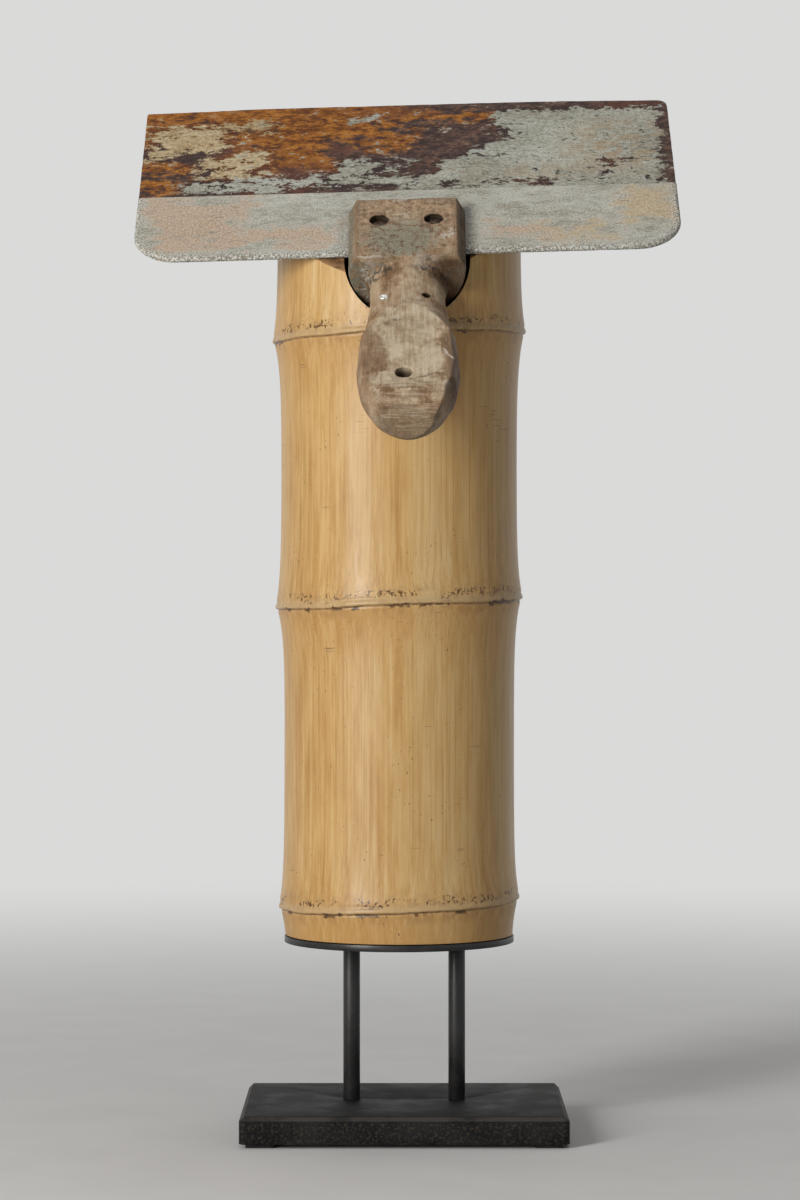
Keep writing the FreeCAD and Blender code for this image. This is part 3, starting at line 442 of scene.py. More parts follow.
def bamboo_skin():
    """Honey-coloured skin: fine upright fibres, pale ridges, dark pits and a painted shadow line
    below each ridge.
    """
    s = Surface("bamboo_skin", 0.32)
    height = s.w
    away = s.value("ridge")
    near = s.step(s.value("near"), 0.02, 0.15)
    broad = s.noise((1, 1, 0.06), 20)
    streaks = s.noise((1, 1, 0.016), 1.7, 4, 0.6)
    fibres = s.noise((1, 1, 0.008), 0.5, 2, 0.6)
    mottle = s.noise((1, 1, 0.16), 5, 5, 0.65)
    s.colour = s.ramp(
        s.blend((broad, 0.44), (streaks, 0.22), (mottle, 0.34)),
        (0.30, 0.43, 0.235, 0.072), (0.43, 0.51, 0.302, 0.105),
        (0.53, 0.565, 0.352, 0.135), (0.64, 0.605, 0.40, 0.172), (0.76, 0.64, 0.445, 0.212),
    )
    # Dark and pale fibres, some of them grouped in faint bands up the culm
    grouped = s.step(s.noise((1, 1, 0.02), 9, 2, offset=(5, 2, 0)), 0.40, 0.62, 0.35, 1.0)
    s.lay((0.355, 0.185, 0.058), 0.30, (fibres, 0.52, 0.66), grouped)
    lines = s.noise((1, 1, 0.006), 1.0, 1, 0.5, offset=(4, 8, 3))
    s.lay((0.33, 0.17, 0.05), 0.20, (lines, 0.60, 0.70))
    s.lay((0.66, 0.50, 0.27), 0.20, (lines, 0.40, 0.30))
    s.lay((0.64, 0.47, 0.24), 0.15, (streaks, 0.56, 0.68))
    # Redder towards the foot, and for a hand's breadth under each ridge
    below = s.times(s.step(away, -34, -3), s.step(away, -0.6, -1.2), near, 0.7)
    red = s.largest(s.step(height, 125, 93), below)
    s.lay((0.44, 0.225, 0.062), red, (mottle, 0.30, 0.66, 0.25, 0.6))
    # Pale, dusty ridge with a scuffed belt above it
    s.lay((0.50, 0.365, 0.205), 0.6, near, s.band(away, -1.0, 2.6, 2.0))
    scuff = s.noise(EVEN, 3.6, 5, 0.7)
    s.lay((0.36, 0.215, 0.105), 0.36, near, s.band(away, -2.0, 8.5, 3.5), (scuff, 0.46, 0.64))
    # Small dark pits in an uneven row above each ridge
    uneven = s.add(away, s.off(s.noise(EVEN, 17, 2, offset=(3, 1, 8)), 5.0))
    pits = s.times(
        near, s.step(s.noise((1, 1, 0.8), 1.3, 2, 0.6), 0.56, 0.60), s.band(uneven, 2.4, 5.6, 0.7),
        s.step(s.noise(EVEN, 12, 3, 0.6), 0.38, 0.50),
    )
    s.lay((0.085, 0.036, 0.012), 0.9, pits)
    # Painted shadow under each ridge's lip, near-black in places
    ragged = s.noise(EVEN, 3.2, 4, 0.65)
    line = s.band(away, -1.55, -0.75, 0.35)
    s.lay((0.13, 0.068, 0.028), 0.78, near, line, (ragged, 0.34, 0.56, 0.35, 1.0))
    lip_shadow_black = s.times(
        near, s.band(s.add(away, s.off(ragged, 3.0)), -2.3, -0.75, 0.4),
        s.step(s.noise(EVEN, 11, 2, offset=(2, 9, 4)), 0.54, 0.62),
    )
    s.lay((0.062, 0.028, 0.012), 0.92, lip_shadow_black)
    s.lay((0.33, 0.165, 0.055), 0.4, near, s.band(away, -6.0, -1.4, 2.0), (mottle, 0.46, 0.62))
    # Scattered specks and short level scratches
    speck_area = s.step(s.noise(EVEN, 24, 2, offset=(7, 7, 1)), 0.50, 0.62)
    specks = s.step(s.noise((1, 1, 0.7), 1.0, 1, 0.4), 0.80, 0.84)
    s.lay((0.085, 0.042, 0.018), 0.85, specks, speck_area)
    scratch_area = s.step(s.noise(EVEN, 22, 1, offset=(9, 4, 2)), 0.66, 0.74)
    scratches = s.step(s.noise((0.09, 0.09, 1.5), 0.9, 1, 0.3), 0.74, 0.79)
    s.lay((0.15, 0.08, 0.036), 0.6, scratches, scratch_area)
    return s.finish(
        s.step(streaks, 0.3, 0.7, 0.32, 0.42), (streaks, 0.12, 0.25), (fibres, 0.14, 0.08),
        (scuff, 0.06, 0.3),
    )


def bamboo_cut():
    """Sawn end grain: brown, with dark bundles, saw marks and patches of grime."""
    s = Surface("bamboo_cut", 0.25)
    dots = s.node("TexVoronoi", "Distance", inputs={
        "Vector": s.place((1, 1, 0.35)), "Scale": 1 / 0.95,
    })
    s.colour = s.ramp(
        s.noise(EVEN, 7, 4, 0.6), (0.3, 0.17, 0.083, 0.034), (0.5, 0.29, 0.158, 0.068),
        (0.7, 0.40, 0.240, 0.108),
    )
    s.lay((0.075, 0.036, 0.016), 0.6, (dots, 0.34, 0.14))
    saw = s.noise((0.05, 1, 1), 0.9, 2)
    grime = s.noise(EVEN, 3, 4, 0.65)
    s.lay((0.085, 0.050, 0.028), 0.6, (grime, 0.52, 0.72))
    return s.finish(s.step(grime, 0.3, 0.7, 0.65, 0.85), (dots, 0.3, 0.25), (saw, 0.35, 0.3))


def bamboo_inside():
    """The culm's pale, papery inside."""
    s = Surface("bamboo_inside", 0.2)
    fibres = s.noise((1, 1, 0.03), 1.6, 4, 0.6)
    patches = s.noise((1, 1, 0.5), 16, 4, 0.6)
    s.colour = s.ramp(
        s.blend((fibres, 0.5), (patches, 0.5)),
        (0.32, 0.22, 0.13, 0.06), (0.5, 0.36, 0.235, 0.12), (0.68, 0.48, 0.345, 0.20),
    )
    return s.finish(0.8, (fibres, 0.4, 0.3), (patches, 0.2, 0.6))


def lay_on_head(s, t):
    """The coats of the handle's head and shoulders. Returns how much lime there is."""
    v, w = s.v, s.w
    # The head's face: orange-brown round its border, grey-green lime over its middle
    on_head = s.step(v, -17.5, -13.5)
    on_face = s.times(on_head, s.step(w, 5.5, 8.0))
    border = s.less(1.0, s.patch(-2.5, 2, 17, 19, 0.30))
    s.lay((0.43, 0.275, 0.152), on_face, border, (t.blotch, 0.36, 0.62, 0.15, 0.75))
    s.lay((0.12, 0.07, 0.04), 0.35, on_face, (t.across, 0.54, 0.66))
    s.lay((0.52, 0.43, 0.31), 0.50, on_head, (t.crust, 0.54, 0.72))
    s.lay((0.095, 0.06, 0.036), 0.60, on_head, (t.crust, 0.47, 0.30))
    rims = s.largest(s.step(t.side, 20.5, 23.0), s.step(v, 29.5, 31.5))
    s.lay((0.11, 0.066, 0.038), 0.6, on_head, rims, (t.crust, 0.40, 0.58))
    where = s.largest(
        s.times(on_face, s.patch(-3, -2, 16, 15, 0.5)),
        s.times(s.step(v, -19.5, -16.0), t.below_face, s.step(t.side, 12, 17), 0.95),
        s.times(on_head, t.below_face, 0.62),
    )
    limed = s.add(s.times(where, 0.9), s.off(t.crust, 3.0))
    lime = s.times(s.step(limed, 0.50, 0.78), s.step(where, 0.02, 0.25))
    lime_tone = s.ramp(
        t.grit, (0.36, 0.18, 0.172, 0.126), (0.50, 0.345, 0.332, 0.245),
        (0.66, 0.47, 0.455, 0.35),
    )
    s.lay(s.mix(lime_tone, (0.075, 0.078, 0.06), t.below_face, 0.5), 0.85, lime)
    s.lay((0.04, 0.034, 0.027), 0.75, where, (t.grit, 0.585, 0.66))
    # White traces of plaster on the head's lower rim and beside the neck
    where = s.patches(
        (-16.5, -14.8, 6, 1, 0.5), (9, -17, 6, 2.6, 0.6), (19, 2, 4, 4, 0.6, 0.7),
        (-3.5, 31, 5, 1.5, 0.6, 0.8), (-9, -97.5, 3.2, 1.4, 0.6, 0.8),
    )
    trace = s.step(s.add(where, s.off(t.crust, 2.4)), 0.52, 0.70)
    s.lay((0.56, 0.50, 0.42), 0.8, trace, (where, 0.05, 0.3))
    # Orange and black where hands and rust have marked the shoulders
    s.lay((0.235, 0.12, 0.05), 0.65, s.patch(16, -15, 8, 7, 0.6), (t.blotch, 0.36, 0.55))
    soot = s.patches((12, -19, 9, 4, 0.6), (-13, -19, 7, 3.5, 0.6))
    s.lay((0.04, 0.037, 0.034), 0.85, soot, (t.crust, 0.44, 0.56))
    return lime


def lay_on_bulb(s, t):
    """The coats of the handle's bulb."""
    u, v, w = s.u, s.v, s.w
    # Pale grey-beige wear on the front of the bulb, smudged in places
    worn = s.step(s.add(s.box(-12.5, 15.5, -110, -50, 7), s.off(t.patches, 2.6)), -0.25, 0.55)
    pale = s.ramp(
        s.blend((t.patches, 0.65), (t.grain, 0.35)), (0.36, 0.39, 0.285, 0.178),
        (0.49, 0.525, 0.422, 0.292), (0.62, 0.635, 0.535, 0.395),
    )
    s.lay(pale, 0.80, worn, (w, -6.0, 1.0))
    smudges = s.patches(
        (-13, -84, 5, 16, 0.6), (2, -108, 14, 4, 0.6, 0.8), (-11, -104, 9, 9, 0.6, 0.9),
        (-2, -64, 12, 5, 0.7, 0.5),
    )
    s.lay((0.19, 0.112, 0.062), 0.55, smudges, (t.blotch, 0.38, 0.58))
    # Brown flanks, redder low down, and the dark end
    flank = s.times(s.step(t.side, 14, 20), s.step(v, -46, -58))
    s.lay((0.215, 0.122, 0.064), flank, (t.blotch, 0.34, 0.60, 0.15, 0.75))
    s.lay((0.175, 0.122, 0.076), (v, -112, -119), (t.patches, 0.34, 0.62, 0.45, 0.85))
    # A dark curve beside the hanging hole and a small dark mark above it
    curve = s.band(s.add(t.bend, s.times(u, -0.35)), -103.4, -102.6, 0.4)
    s.lay((0.10, 0.066, 0.042), 0.7, curve, s.band(u, 1, 14, 1.5))
    s.lay((0.06, 0.042, 0.028), 0.8, s.patch(-4.5, -59.6, 2.2, 0.9, 0.6), (t.crust, 0.34, 0.5))
    # Pale and dark lines round the bulb's lower slope, where its end grain comes out
    slope = s.times(s.step(v, -98, -106), s.step(t.side, 18, 9))
    rings = s.noise((0.09, 1, 1), 1.9, 3, 0.6, 1.2, (6, 2, 9))
    s.lay((0.52, 0.43, 0.31), 0.38, slope, (rings, 0.56, 0.74))
    s.lay((0.10, 0.064, 0.04), 0.45, slope, (rings, 0.46, 0.30))


def lay_marks(s, t):
    """Rubs, cracks and a scratch all over the handle, and painted shade on its right side and in
    its holes.
    """
    u, v = s.u, s.v
    rub = s.step(s.noise((1, 0.25, 1), 2, 2, 0.5, offset=(3, 8, 1)), 0.76, 0.84)
    s.lay((0.47, 0.40, 0.31), 0.45, rub)
    crack = s.step(s.noise((1, 0.05, 1), 1, 2, 0.5, offset=(7, 1, 3)), 0.80, 0.86)
    s.lay((0.045, 0.028, 0.016), 0.7, crack)
    # Painted shade on the right side: the cheek, and the bulb's flank below the worn front
    right = s.largest(
        s.times(s.step(u, 22.5, 25.5), s.step(v, -20, -14)),
        s.times(s.step(u, 15.5, 20.5), s.step(v, -66, -80)),
        s.times(s.step(u, 8, 18), t.below_face, s.step(v, -30, -22)),
    )
    s.lay((0.07, 0.038, 0.02), 0.82, right, (t.patches, 0.30, 0.60, 0.55, 0.95))
    # A pale scratch near it, and painted shade down in the holes
    scratch = s.band(s.add(t.bend, s.times(u, 1.5)), -58.6, -57.0, 0.5)
    s.lay((0.60, 0.54, 0.45), 0.8, scratch, s.band(u, 16.0, 20.5, 0.8))
    s.lay((0.022, 0.015, 0.011), 0.92, s.value("deep"))


def weathered_wood():
    """Grey-brown handle: dry grain along it, lime in its pores, a pale worn flat on the bulb."""
    s = Surface("weathered_wood", 0.16, attribute="tool")
    t = SimpleNamespace(
        side=s.math("ABSOLUTE", s.u), below_face=s.step(s.w, 7.0, 4.5),
        grain=s.noise((1, 0.07, 1), 1.5, 5, 0.65, 0.6), across=s.noise((0.10, 1, 1), 0.8, 4, 0.65),
        fine=s.noise((1, 0.04, 1), 0.45, 3, 0.6), patches=s.noise(EVEN, 12, 5, 0.65),
        crust=s.noise(EVEN, 2.6, 6, 0.75), blotch=s.noise(EVEN, 8, 4, 0.6, offset=(4, 6, 1)),
        grit=s.noise(EVEN, 0.75, 3, 0.6),
    )
    t.bend = s.add(s.v, s.off(t.patches, 5.0))
    s.colour = s.ramp(
        s.blend((t.grain, 0.25), (t.patches, 0.45), (t.blotch, 0.30)),
        (0.34, 0.185, 0.105, 0.052), (0.43, 0.30, 0.195, 0.112),
        (0.51, 0.395, 0.28, 0.172), (0.60, 0.47, 0.355, 0.235), (0.70, 0.54, 0.435, 0.31),
    )
    s.lay((0.15, 0.096, 0.06), 0.30, (t.fine, 0.48, 0.72))
    lime = lay_on_head(s, t)
    lay_on_bulb(s, t)
    lay_marks(s, t)
    return s.finish(
        s.add(s.step(t.patches, 0.3, 0.7, 0.46, 0.64), s.times(lime, 0.2)),
        (t.grain, 0.34, 0.35), (t.fine, 0.24, 0.14), (t.crust, 0.38, 0.5), (t.grit, 0.28, 0.18),
    )


def lay_metal(s, t):
    """Bare metal: orange at the upper left, brown below, purple-black in the middle."""
    rust = s.ramp(
        s.blend((t.ragged, 0.50), (t.small, 0.25), (t.lines, 0.25)),
        (0.34, 0.08, 0.026, 0.01), (0.45, 0.215, 0.07, 0.013),
        (0.54, 0.37, 0.138, 0.02), (0.66, 0.51, 0.215, 0.042),
    )
    dark = s.ramp(
        s.blend((t.ragged, 0.6), (t.small, 0.4)),
        (0.36, 0.03, 0.019, 0.018), (0.48, 0.072, 0.043, 0.038),
        (0.58, 0.125, 0.072, 0.055), (0.70, 0.20, 0.115, 0.075),
    )
    orange_at = s.boxes(
        (-140, -2, 93, 140, 16), (-66, -34, 74, 110, 12), (-136, -98, 46, 88, 12, -0.40),
        (-100, -56, 62, 98, 12, -0.30), (-10, 46, 112, 124, 8, -0.35),
    )
    orange = s.step(s.add(orange_at, s.off(t.broad, 2.7), s.off(t.ragged, 1.8)), -0.32, 0.45)
    s.colour = s.mix(dark, rust, orange)
    reddish = s.step(s.add(s.off(t.drift, 3.0), s.off(t.small, 1.2)), 0.05, 0.60)
    s.lay((0.175, 0.06, 0.032), 0.40, reddish)


def cream_paint(s, t):
    """Where the paint has yellowed on the left, and its colour."""
    cream_at = s.boxes(
        (-124, -88, 88, 117, 9), (-100, -62, 104, 118, 7, -0.30), (-106, -62, 62, 92, 9, -0.62)
    )
    cream = s.add(cream_at, s.off(t.broad, 2.2), s.off(t.ragged, 3.0), s.off(t.small, 1.3))
    tone = s.ramp(
        s.blend((t.small, 0.4), (t.ragged, 0.3), (t.drift, 0.3)), (0.37, 0.28, 0.17, 0.072),
        (0.49, 0.47, 0.352, 0.19), (0.62, 0.62, 0.51, 0.325),
    )
    return s.step(cream, -0.06, 0.12), tone


def green_paint(s, t):
    """Grey-green paint and its colour: a big field on the right whose edge slants down to the
    middle, and low bands."""
    u, v = s.u, s.v
    slant = s.times(s.largest(s.less(97.0, v), 0.0), 1.15)
    field = s.smallest(
        s.math("DIVIDE", s.add(u, -44.0, slant), 8.0), s.math("DIVIDE", s.less(122.0, v), 5.0),
        s.math("DIVIDE", s.less(122.5, u), 5.0), 1.1,
    )
    bands = s.boxes(
        (-76, 18, 57, 68, 7, -0.12), (-110, -60, 54, 66, 7, -0.15), (-34, 6, 66, 82, 8, -0.40),
        (-30, -12, 112, 120, 5, -0.55),
    )
    worn_low = s.patches(
        (62, 58, 12, 4, 0.5), (104, 75, 16, 3, 0.6, 0.8), (30, 58, 20, 3.5, 0.6, 0.8),
        (96, 62, 30, 9, 0.7, 0.55),
    )
    green = s.add(
        s.largest(field, -1.0, bands), s.off(t.broad, 2.0), s.off(t.ragged, 3.0),
        s.off(t.small, 1.3), s.times(worn_low, -1.3),
    )
    tone = s.ramp(
        s.blend((t.small, 0.40), (t.lines, 0.25), (t.drift, 0.35)),
        (0.34, 0.215, 0.195, 0.145), (0.44, 0.345, 0.338, 0.272),
        (0.55, 0.45, 0.458, 0.392), (0.68, 0.545, 0.565, 0.505),
    )
    tan_at = s.patches((103, 88, 26, 22, 0.7), (70, 66, 50, 8, 0.7, 0.6))
    tan = s.step(s.blend((t.drift, 0.4), (t.ragged, 0.6)), 0.42, 0.62)
    tone = s.mix(tone, (0.42, 0.305, 0.18), 0.75, tan_at, tan)
    return s.step(green, -0.06, 0.12), tone


def rusty_paint():
    """Rust with what is left of a pale grey-green paint, streaked along the blade."""
    s = Surface("rusty_paint", 0.25, attribute="tool")
    t = SimpleNamespace(
        broad=s.noise((0.42, 1, 1), 13, 9, 0.72, 0.5),
        ragged=s.noise((0.55, 1, 1), 4.6, 8, 0.76, 0.3, (5, 9, 2)),
        small=s.noise((0.7, 1, 1), 1.5, 5, 0.75, offset=(2, 4, 8)),
        lines=s.noise((0.20, 1, 1), 1.0, 4, 0.70, offset=(1, 6, 3)),
        drift=s.noise((0.5, 1, 1), 26, 4, 0.55, offset=(1, 3, 7)),
    )
    lay_metal(s, t)
    cream, cream_tone = cream_paint(s, t)
    green, green_tone = green_paint(s, t)
    # Fine dark streaks in what paint is left, and dark red dirt along the fold of the strip
    dirt = s.times(s.step(t.lines, 0.52, 0.68), s.step(t.ragged, 0.42, 0.60), 0.5)
    s.lay(s.mix(cream_tone, (0.19, 0.105, 0.05), dirt), cream)
    s.lay(s.mix(green_tone, (0.15, 0.12, 0.088), dirt), green)
    low_band = s.times(s.band(s.v, 50, 54.2, 1.0), s.band(s.u, -100, 34, 12))
    s.lay((0.10, 0.042, 0.03), 0.8, low_band, (t.ragged, 0.38, 0.56))
    s.lay((0.07, 0.04, 0.026), 0.45, (s.noise(EVEN, 0.8, 2, 0.5), 0.60, 0.70))
    paint = s.largest(cream, green)
    return s.finish(
        s.add(s.step(paint, 0.0, 1.0, 0.80, 0.58), s.times(t.small, 0.08)), (paint, 0.6, 0.25),
        (t.ragged, 0.30, 0.40), (t.small, 0.34, 0.18),
    )


def plastered_steel():
    """The back strip: dull steel under old paint and lime, brighter along its rubbed edge."""
    s = Surface("plastered_steel", 0.3, attribute="tool")
    u, v = s.u, s.v
    drift = s.noise((0.45, 1, 1), 22, 5, 0.6)
    cloudy = s.noise((0.5, 1, 1), 6, 6, 0.70, offset=(4, 4, 4))
    lines = s.noise((0.25, 1, 1), 1.2, 4, 0.65, offset=(2, 2, 5))
    sandy = s.noise(EVEN, 0.95, 3, 0.70)
    s.colour = s.ramp(
        s.blend((cloudy, 0.45), (drift, 0.40), (lines, 0.15)),
        (0.32, 0.30, 0.285, 0.22), (0.43, 0.415, 0.405, 0.338),
        (0.53, 0.485, 0.487, 0.427), (0.68, 0.575, 0.585, 0.535),
    )
    tan_at = s.boxes(
        (-119, -78, 8, 47, 17), (-84, -30, 4, 30, 14, -0.60), (104, 125, 20, 50, 14),
        (34, 100, 4, 26, 14, -0.50),
    )
    tan = s.step(s.add(tan_at, s.off(cloudy, 2.4), s.off(drift, 2.0)), -0.60, 0.55)
    s.lay(s.mix((0.50, 0.325, 0.20), (0.52, 0.375, 0.195), (u, 40, 90)), 0.78, tan)
    # Dark scuffs, and the strip darker round the handle's head
    scuffs = s.step(s.noise((0.4, 1, 1), 3.2, 5, 0.70, offset=(8, 2, 6)), 0.62, 0.78)
    s.lay((0.175, 0.15, 0.115), 0.40, scuffs)
    s.lay((0.13, 0.10, 0.074), 0.45, s.band(v, -3, 37, 3), (s.math("ABSOLUTE", u), 35, 28))
    s.lay((0.68, 0.67, 0.62), 0.50, (sandy, 0.56, 0.68))
    s.lay((0.17, 0.15, 0.115), 0.45, (sandy, 0.42, 0.30))
    # Rubbed, sparkling lower edge with plaster crumbs
    low = s.value("edge")
    s.lay((0.12, 0.108, 0.086), 0.62, (low, 4.5, 0.4), (sandy, 0.50, 0.40))
    crumbs = s.times(s.step(low, 6.5, 0.8), s.step(sandy, 0.50, 0.60))
    s.lay((0.70, 0.69, 0.64), 0.75, crumbs)
    return s.finish(
        s.add(0.50, s.times(cloudy, 0.22), s.times(crumbs, -0.12)), (cloudy, 0.26, 0.5),
        (sandy, 0.26, 0.15), (crumbs, 0.45, 0.35),
    )


def blackened_steel(name, specular, smoothest, roughest):
    """Satin black steel: faint cloudiness, brown dust on the base's sides, a painted highlight
    along the chamfer.
    """
    s = Surface(name, specular)
    height = s.w
    cloudy = s.noise(EVEN, 19, 4, 0.6)
    tooth = s.noise(EVEN, 0.8, 3, 0.6)
    speckle = s.noise(EVEN, 1.5, 5, 0.72)
    s.colour = s.ramp(
        cloudy, (0.32, 0.0075, 0.0072, 0.0075), (0.5, 0.0120, 0.0116, 0.0120),
        (0.7, 0.0190, 0.0182, 0.0182),
    )
    s.lay((0.045, 0.033, 0.025), 0.4, (speckle, 0.60, 0.76))
    s.lay((0.062, 0.049, 0.038), 0.55, (height, 12.4, 11.6), (speckle, 0.54, 0.70))
    # A painted highlight along the chamfer, brighter where the cloudiness is high
    chamfer = s.band(height, 12.7, 14.5, 0.25)
    s.lay((0.085, 0.078, 0.072), 0.6, chamfer, (cloudy, 0.2, 0.6, 0.5, 1.0))
    s.lay((0.060, 0.056, 0.052), 0.4, (tooth, 0.78, 0.88))
    return s.finish(
        s.step(cloudy, 0.3, 0.7, smoothest, roughest), (tooth, 0.12, 0.08), (speckle, 0.10, 0.15)
    )


def rubber():
    s = Surface("rubber", 0.3)
    mottle = s.noise(EVEN, 2.5)
    s.colour = s.ramp(mottle, (0.35, 0.011, 0.011, 0.011), (0.65, 0.028, 0.027, 0.027))
    return s.finish(s.step(mottle, 0.3, 0.7, 0.72, 0.88), (mottle, 0.2, 0.15))


def bright_steel(name, dark, light, roughness):
    """Plain or rusted steel of small hardware, mottled between a dark and a light tone."""
    s = Surface(name, 0.5, metallic=0.9)
    wear = s.noise(EVEN, 1.1, 4, 0.65)
    s.colour = s.ramp(wear, (0.36, *dark), (0.62, *light))
    return s.finish(s.step(wear, 0.3, 0.7, roughness + 0.15, roughness), (wear, 0.25, 0.1))


def plug_wood():
    s = Surface("plug_wood", 0.25)
    grain = s.noise((0.08, 1, 1), 1.8, 4, 0.6, 0.5)
    rings = s.noise((0.2, 1, 1), 12)
    s.colour = s.ramp(
        s.blend((grain, 0.5), (rings, 0.5)), (0.35, 0.26, 0.15, 0.075), (0.65, 0.46, 0.31, 0.18)
    )
    return s.finish(0.75, (grain, 0.3, 0.2))


CULM_LOOKS = [bamboo_skin(), bamboo_cut(), bamboo_inside()]
SKIN, CUT, INSIDE = range(3)
WOOD = weathered_wood()
RUST = rusty_paint()
PLASTERED = plastered_steel()
BLACK = blackened_steel("blackened_steel", 0.08, 0.54, 0.68)
BLACK_ROUND = blackened_steel("blackened_bar", 0.40, 0.32, 0.44)
RUBBER = rubber()
PLAIN_STEEL = bright_steel("plain_steel", (0.20, 0.19, 0.18), (0.42, 0.41, 0.40), 0.38)
RUSTED_STEEL = bright_steel("rusted_steel", (0.055, 0.030, 0.018), (0.19, 0.14, 0.105), 0.55)
NAIL_STEEL = bright_steel("nail_steel", (0.36, 0.33, 0.29), (0.80, 0.78, 0.74), 0.28)
PLUG = plug_wood()


# The culm

def culm_radius(height):
    """Outer radius at heights measured along the culm, before its small waves."""
    radius = np.full_like(height, NODES[0].below)
    for node in NODES:
        radius = np.where(height >= node.level, node.above, radius)
    for node in NODES:
        over = height - node.level
        grows = (node.ridge - node.above) * np.exp(-np.abs(over) / FLARE_REACH)
        under = np.maximum(np.abs(over) - 1.4, 0)
        swell = (node.ridge - RIDGE_LIP - node.below) * np.exp(-under / FLARE_REACH)
        radius = radius + np.where(over >= 0, grows, swell)
        # The lip's rounded edge, and the grooves that its shadow line and its upper side lie in
        lip = np.clip(1 + over / 0.9, 0, 1) * (over < 0)
        radius = radius + RIDGE_LIP * np.sqrt(np.clip(1 - (1 - lip) ** 2, 0, 1)) * 0.98
        radius = radius - 0.40 * np.exp(-((over + 1.4) / 0.5) ** 2)
        radius = radius - 0.30 * np.exp(-((over - 2.2) / 1.0) ** 2) * (over >= 0)
    return radius


def cut_height(x, y):
    """The height that the culm is sawn down to at a place: the slant, or the level back."""
    face = SCRAPER_TURN[:, 2]
    along = (x - SCRAPER_ORIGIN[0]) * face[0] + (y - SCRAPER_ORIGIN[1]) * face[1]
    return np.minimum(SCRAPER_ORIGIN[2] - (SEAT_BELOW_STRIP + along) / face[2], TOP_Z)


def culm_levels():
    """Heights of the skin's rings: close together at the nodes, and past the top."""
    levels = []
    height = FOOT_Z
    while height < TOP_Z + 12:
        levels.append(height)
        nearest = min(abs(height - node.level) for node in NODES)
        height += 0.3 if nearest < 3 else 0.8 if nearest < 9 else 2.5
    return levels


def cut_notch(item):
    """Saw the notch out of the culm's front: round below, with upright sides."""
    outline = [(-math.cos(turn), 1 - math.sin(turn)) for turn in np.linspace(0, math.pi, 90)]
    outline += [(1, rise) for rise in np.linspace(1, 5, 60)[1:]]
    outline += [(-1, rise) for rise in np.linspace(5, 1, 60)[:-1]]
    outline = np.array(outline) * NOTCH_RADIUS + (NOTCH_X, NOTCH_BOTTOM_Z)
    rows = []
    for y in np.linspace(NOTCH_BACK_Y, NOTCH_FRONT_Y, 60):
        row = np.stack([outline[:, 0], np.full(len(outline), y), outline[:, 1]], -1)
        saw = 0.10 * fractal(row * (1, 4, 1), 3, 2, 33)
        away = row - (NOTCH_X, y, NOTCH_BOTTOM_Z + NOTCH_RADIUS)
        away = away / np.linalg.norm(away, axis=1)[:, None]
        rows.append(row + away * saw[:, None])
    count = len(outline)
    faces = grid_faces(len(rows), count, True)
    faces += [tuple(range(count))[::-1], tuple(range((len(rows) - 1) * count, len(rows) * count))]
    cutter = mesh_object("notch_cutter", np.concatenate(rows), faces, CULM_LOOKS,
                         [CUT] * len(faces))
    store(cutter, "near", np.zeros(len(rows) * count))
    store(cutter, "ridge", np.full(len(rows) * count, NO_RIDGE))
    merge_close(cutter, 0.001)
    modify(item, "BOOLEAN", operation="DIFFERENCE", object=cutter, solver="MANIFOLD")
    bpy.data.objects.remove(cutter)


def wave(height, size, seed):
    """Noise all round the culm's skin at a height."""
    points = np.stack([OUT_X * 57, OUT_Y * 57, np.full(COLUMNS, float(height))], -1)
    return fractal(points, size, 2, seed)


def ring(radius, height, look, away=NO_RIDGE):
    """One ring of the culm's mesh: its points, its look and its distance above a node's ridge."""
    around = np.ones(COLUMNS)
    points = np.stack([CULM_X + OUT_X * radius, OUT_Y * radius, height * around], -1)
    return points, look, away * around


def skin_at(level):
    """Radius, height and distance above the nearest ridge, all round, for one level."""
    index = int(np.argmin([abs(level - node.level) for node in NODES]))
    node_level = NODES[index].level
    away = level - node_level
    radius = culm_radius(np.full(COLUMNS, level))
    radius = radius + 0.22 * wave(level * 0.35, 30, 3) + 0.05 * wave(level * 0.1, 5, 9)
    tilt = NODE_TILT * max(0.0, 1 - abs(away) / TILT_REACH)
    ripple = 1.1 * wave(node_level, 34, 40 + index) + 0.22 * wave(node_level, 4, 60 + index)
    ripple = ripple * max(0.0, 1 - abs(away) / RIPPLE_REACH) ** 2
    return radius, level + OUT_X * radius * tilt + ripple, away


def foot_rings():
    """Under the foot, from the middle out."""
    inner = NODES[0].above - WALL
    rings = [ring(radius, FOOT_Z + FOOT_RECESS, INSIDE)
            for radius in (0.0, 20.0, inner - 0.02, inner)]
    return rings + [ring(inner, FOOT_Z + 0.05, CUT), ring(NODES[0].below - 0.5, FOOT_Z + 0.02, CUT)]


def skin_and_face_rings():
    """Up the skin, where a column that meets the cut stays there, and across the sawn face."""
    rings = []
    stopped = np.zeros(COLUMNS, bool)
    top_radius = top_height = top_away = np.zeros(COLUMNS)
    for level in culm_levels():
        radius, height, away = skin_at(level)
        height = np.maximum(height, FOOT_Z + 0.3) if level > FOOT_Z else FOOT_Z + 0.5
        limit = cut_height(CULM_X + OUT_X * radius, OUT_Y * radius) - CUT_EDGE
        top_radius = np.where(stopped, top_radius, radius)
        top_height = np.where(stopped, top_height, np.minimum(height, limit))
        top_away = np.where(stopped, top_away, away)
        stopped = stopped | (height >= limit)
        rings.append(ring(top_radius, top_height, SKIN, top_away))
    for share in np.linspace(0, 1, 9):
        radius = (top_radius - CUT_EDGE) * (1 - share) + (TOP_INSIDE + 0.3) * share
        x, y = CULM_X + OUT_X * radius, OUT_Y * radius
        rough = 0.12 * fractal(np.stack([x, y * 3, x * 0], -1), 3.5, 3, 21)
        rings.append(ring(radius, cut_height(x, y) + rough - 0.05, CUT, top_away))
    return rings


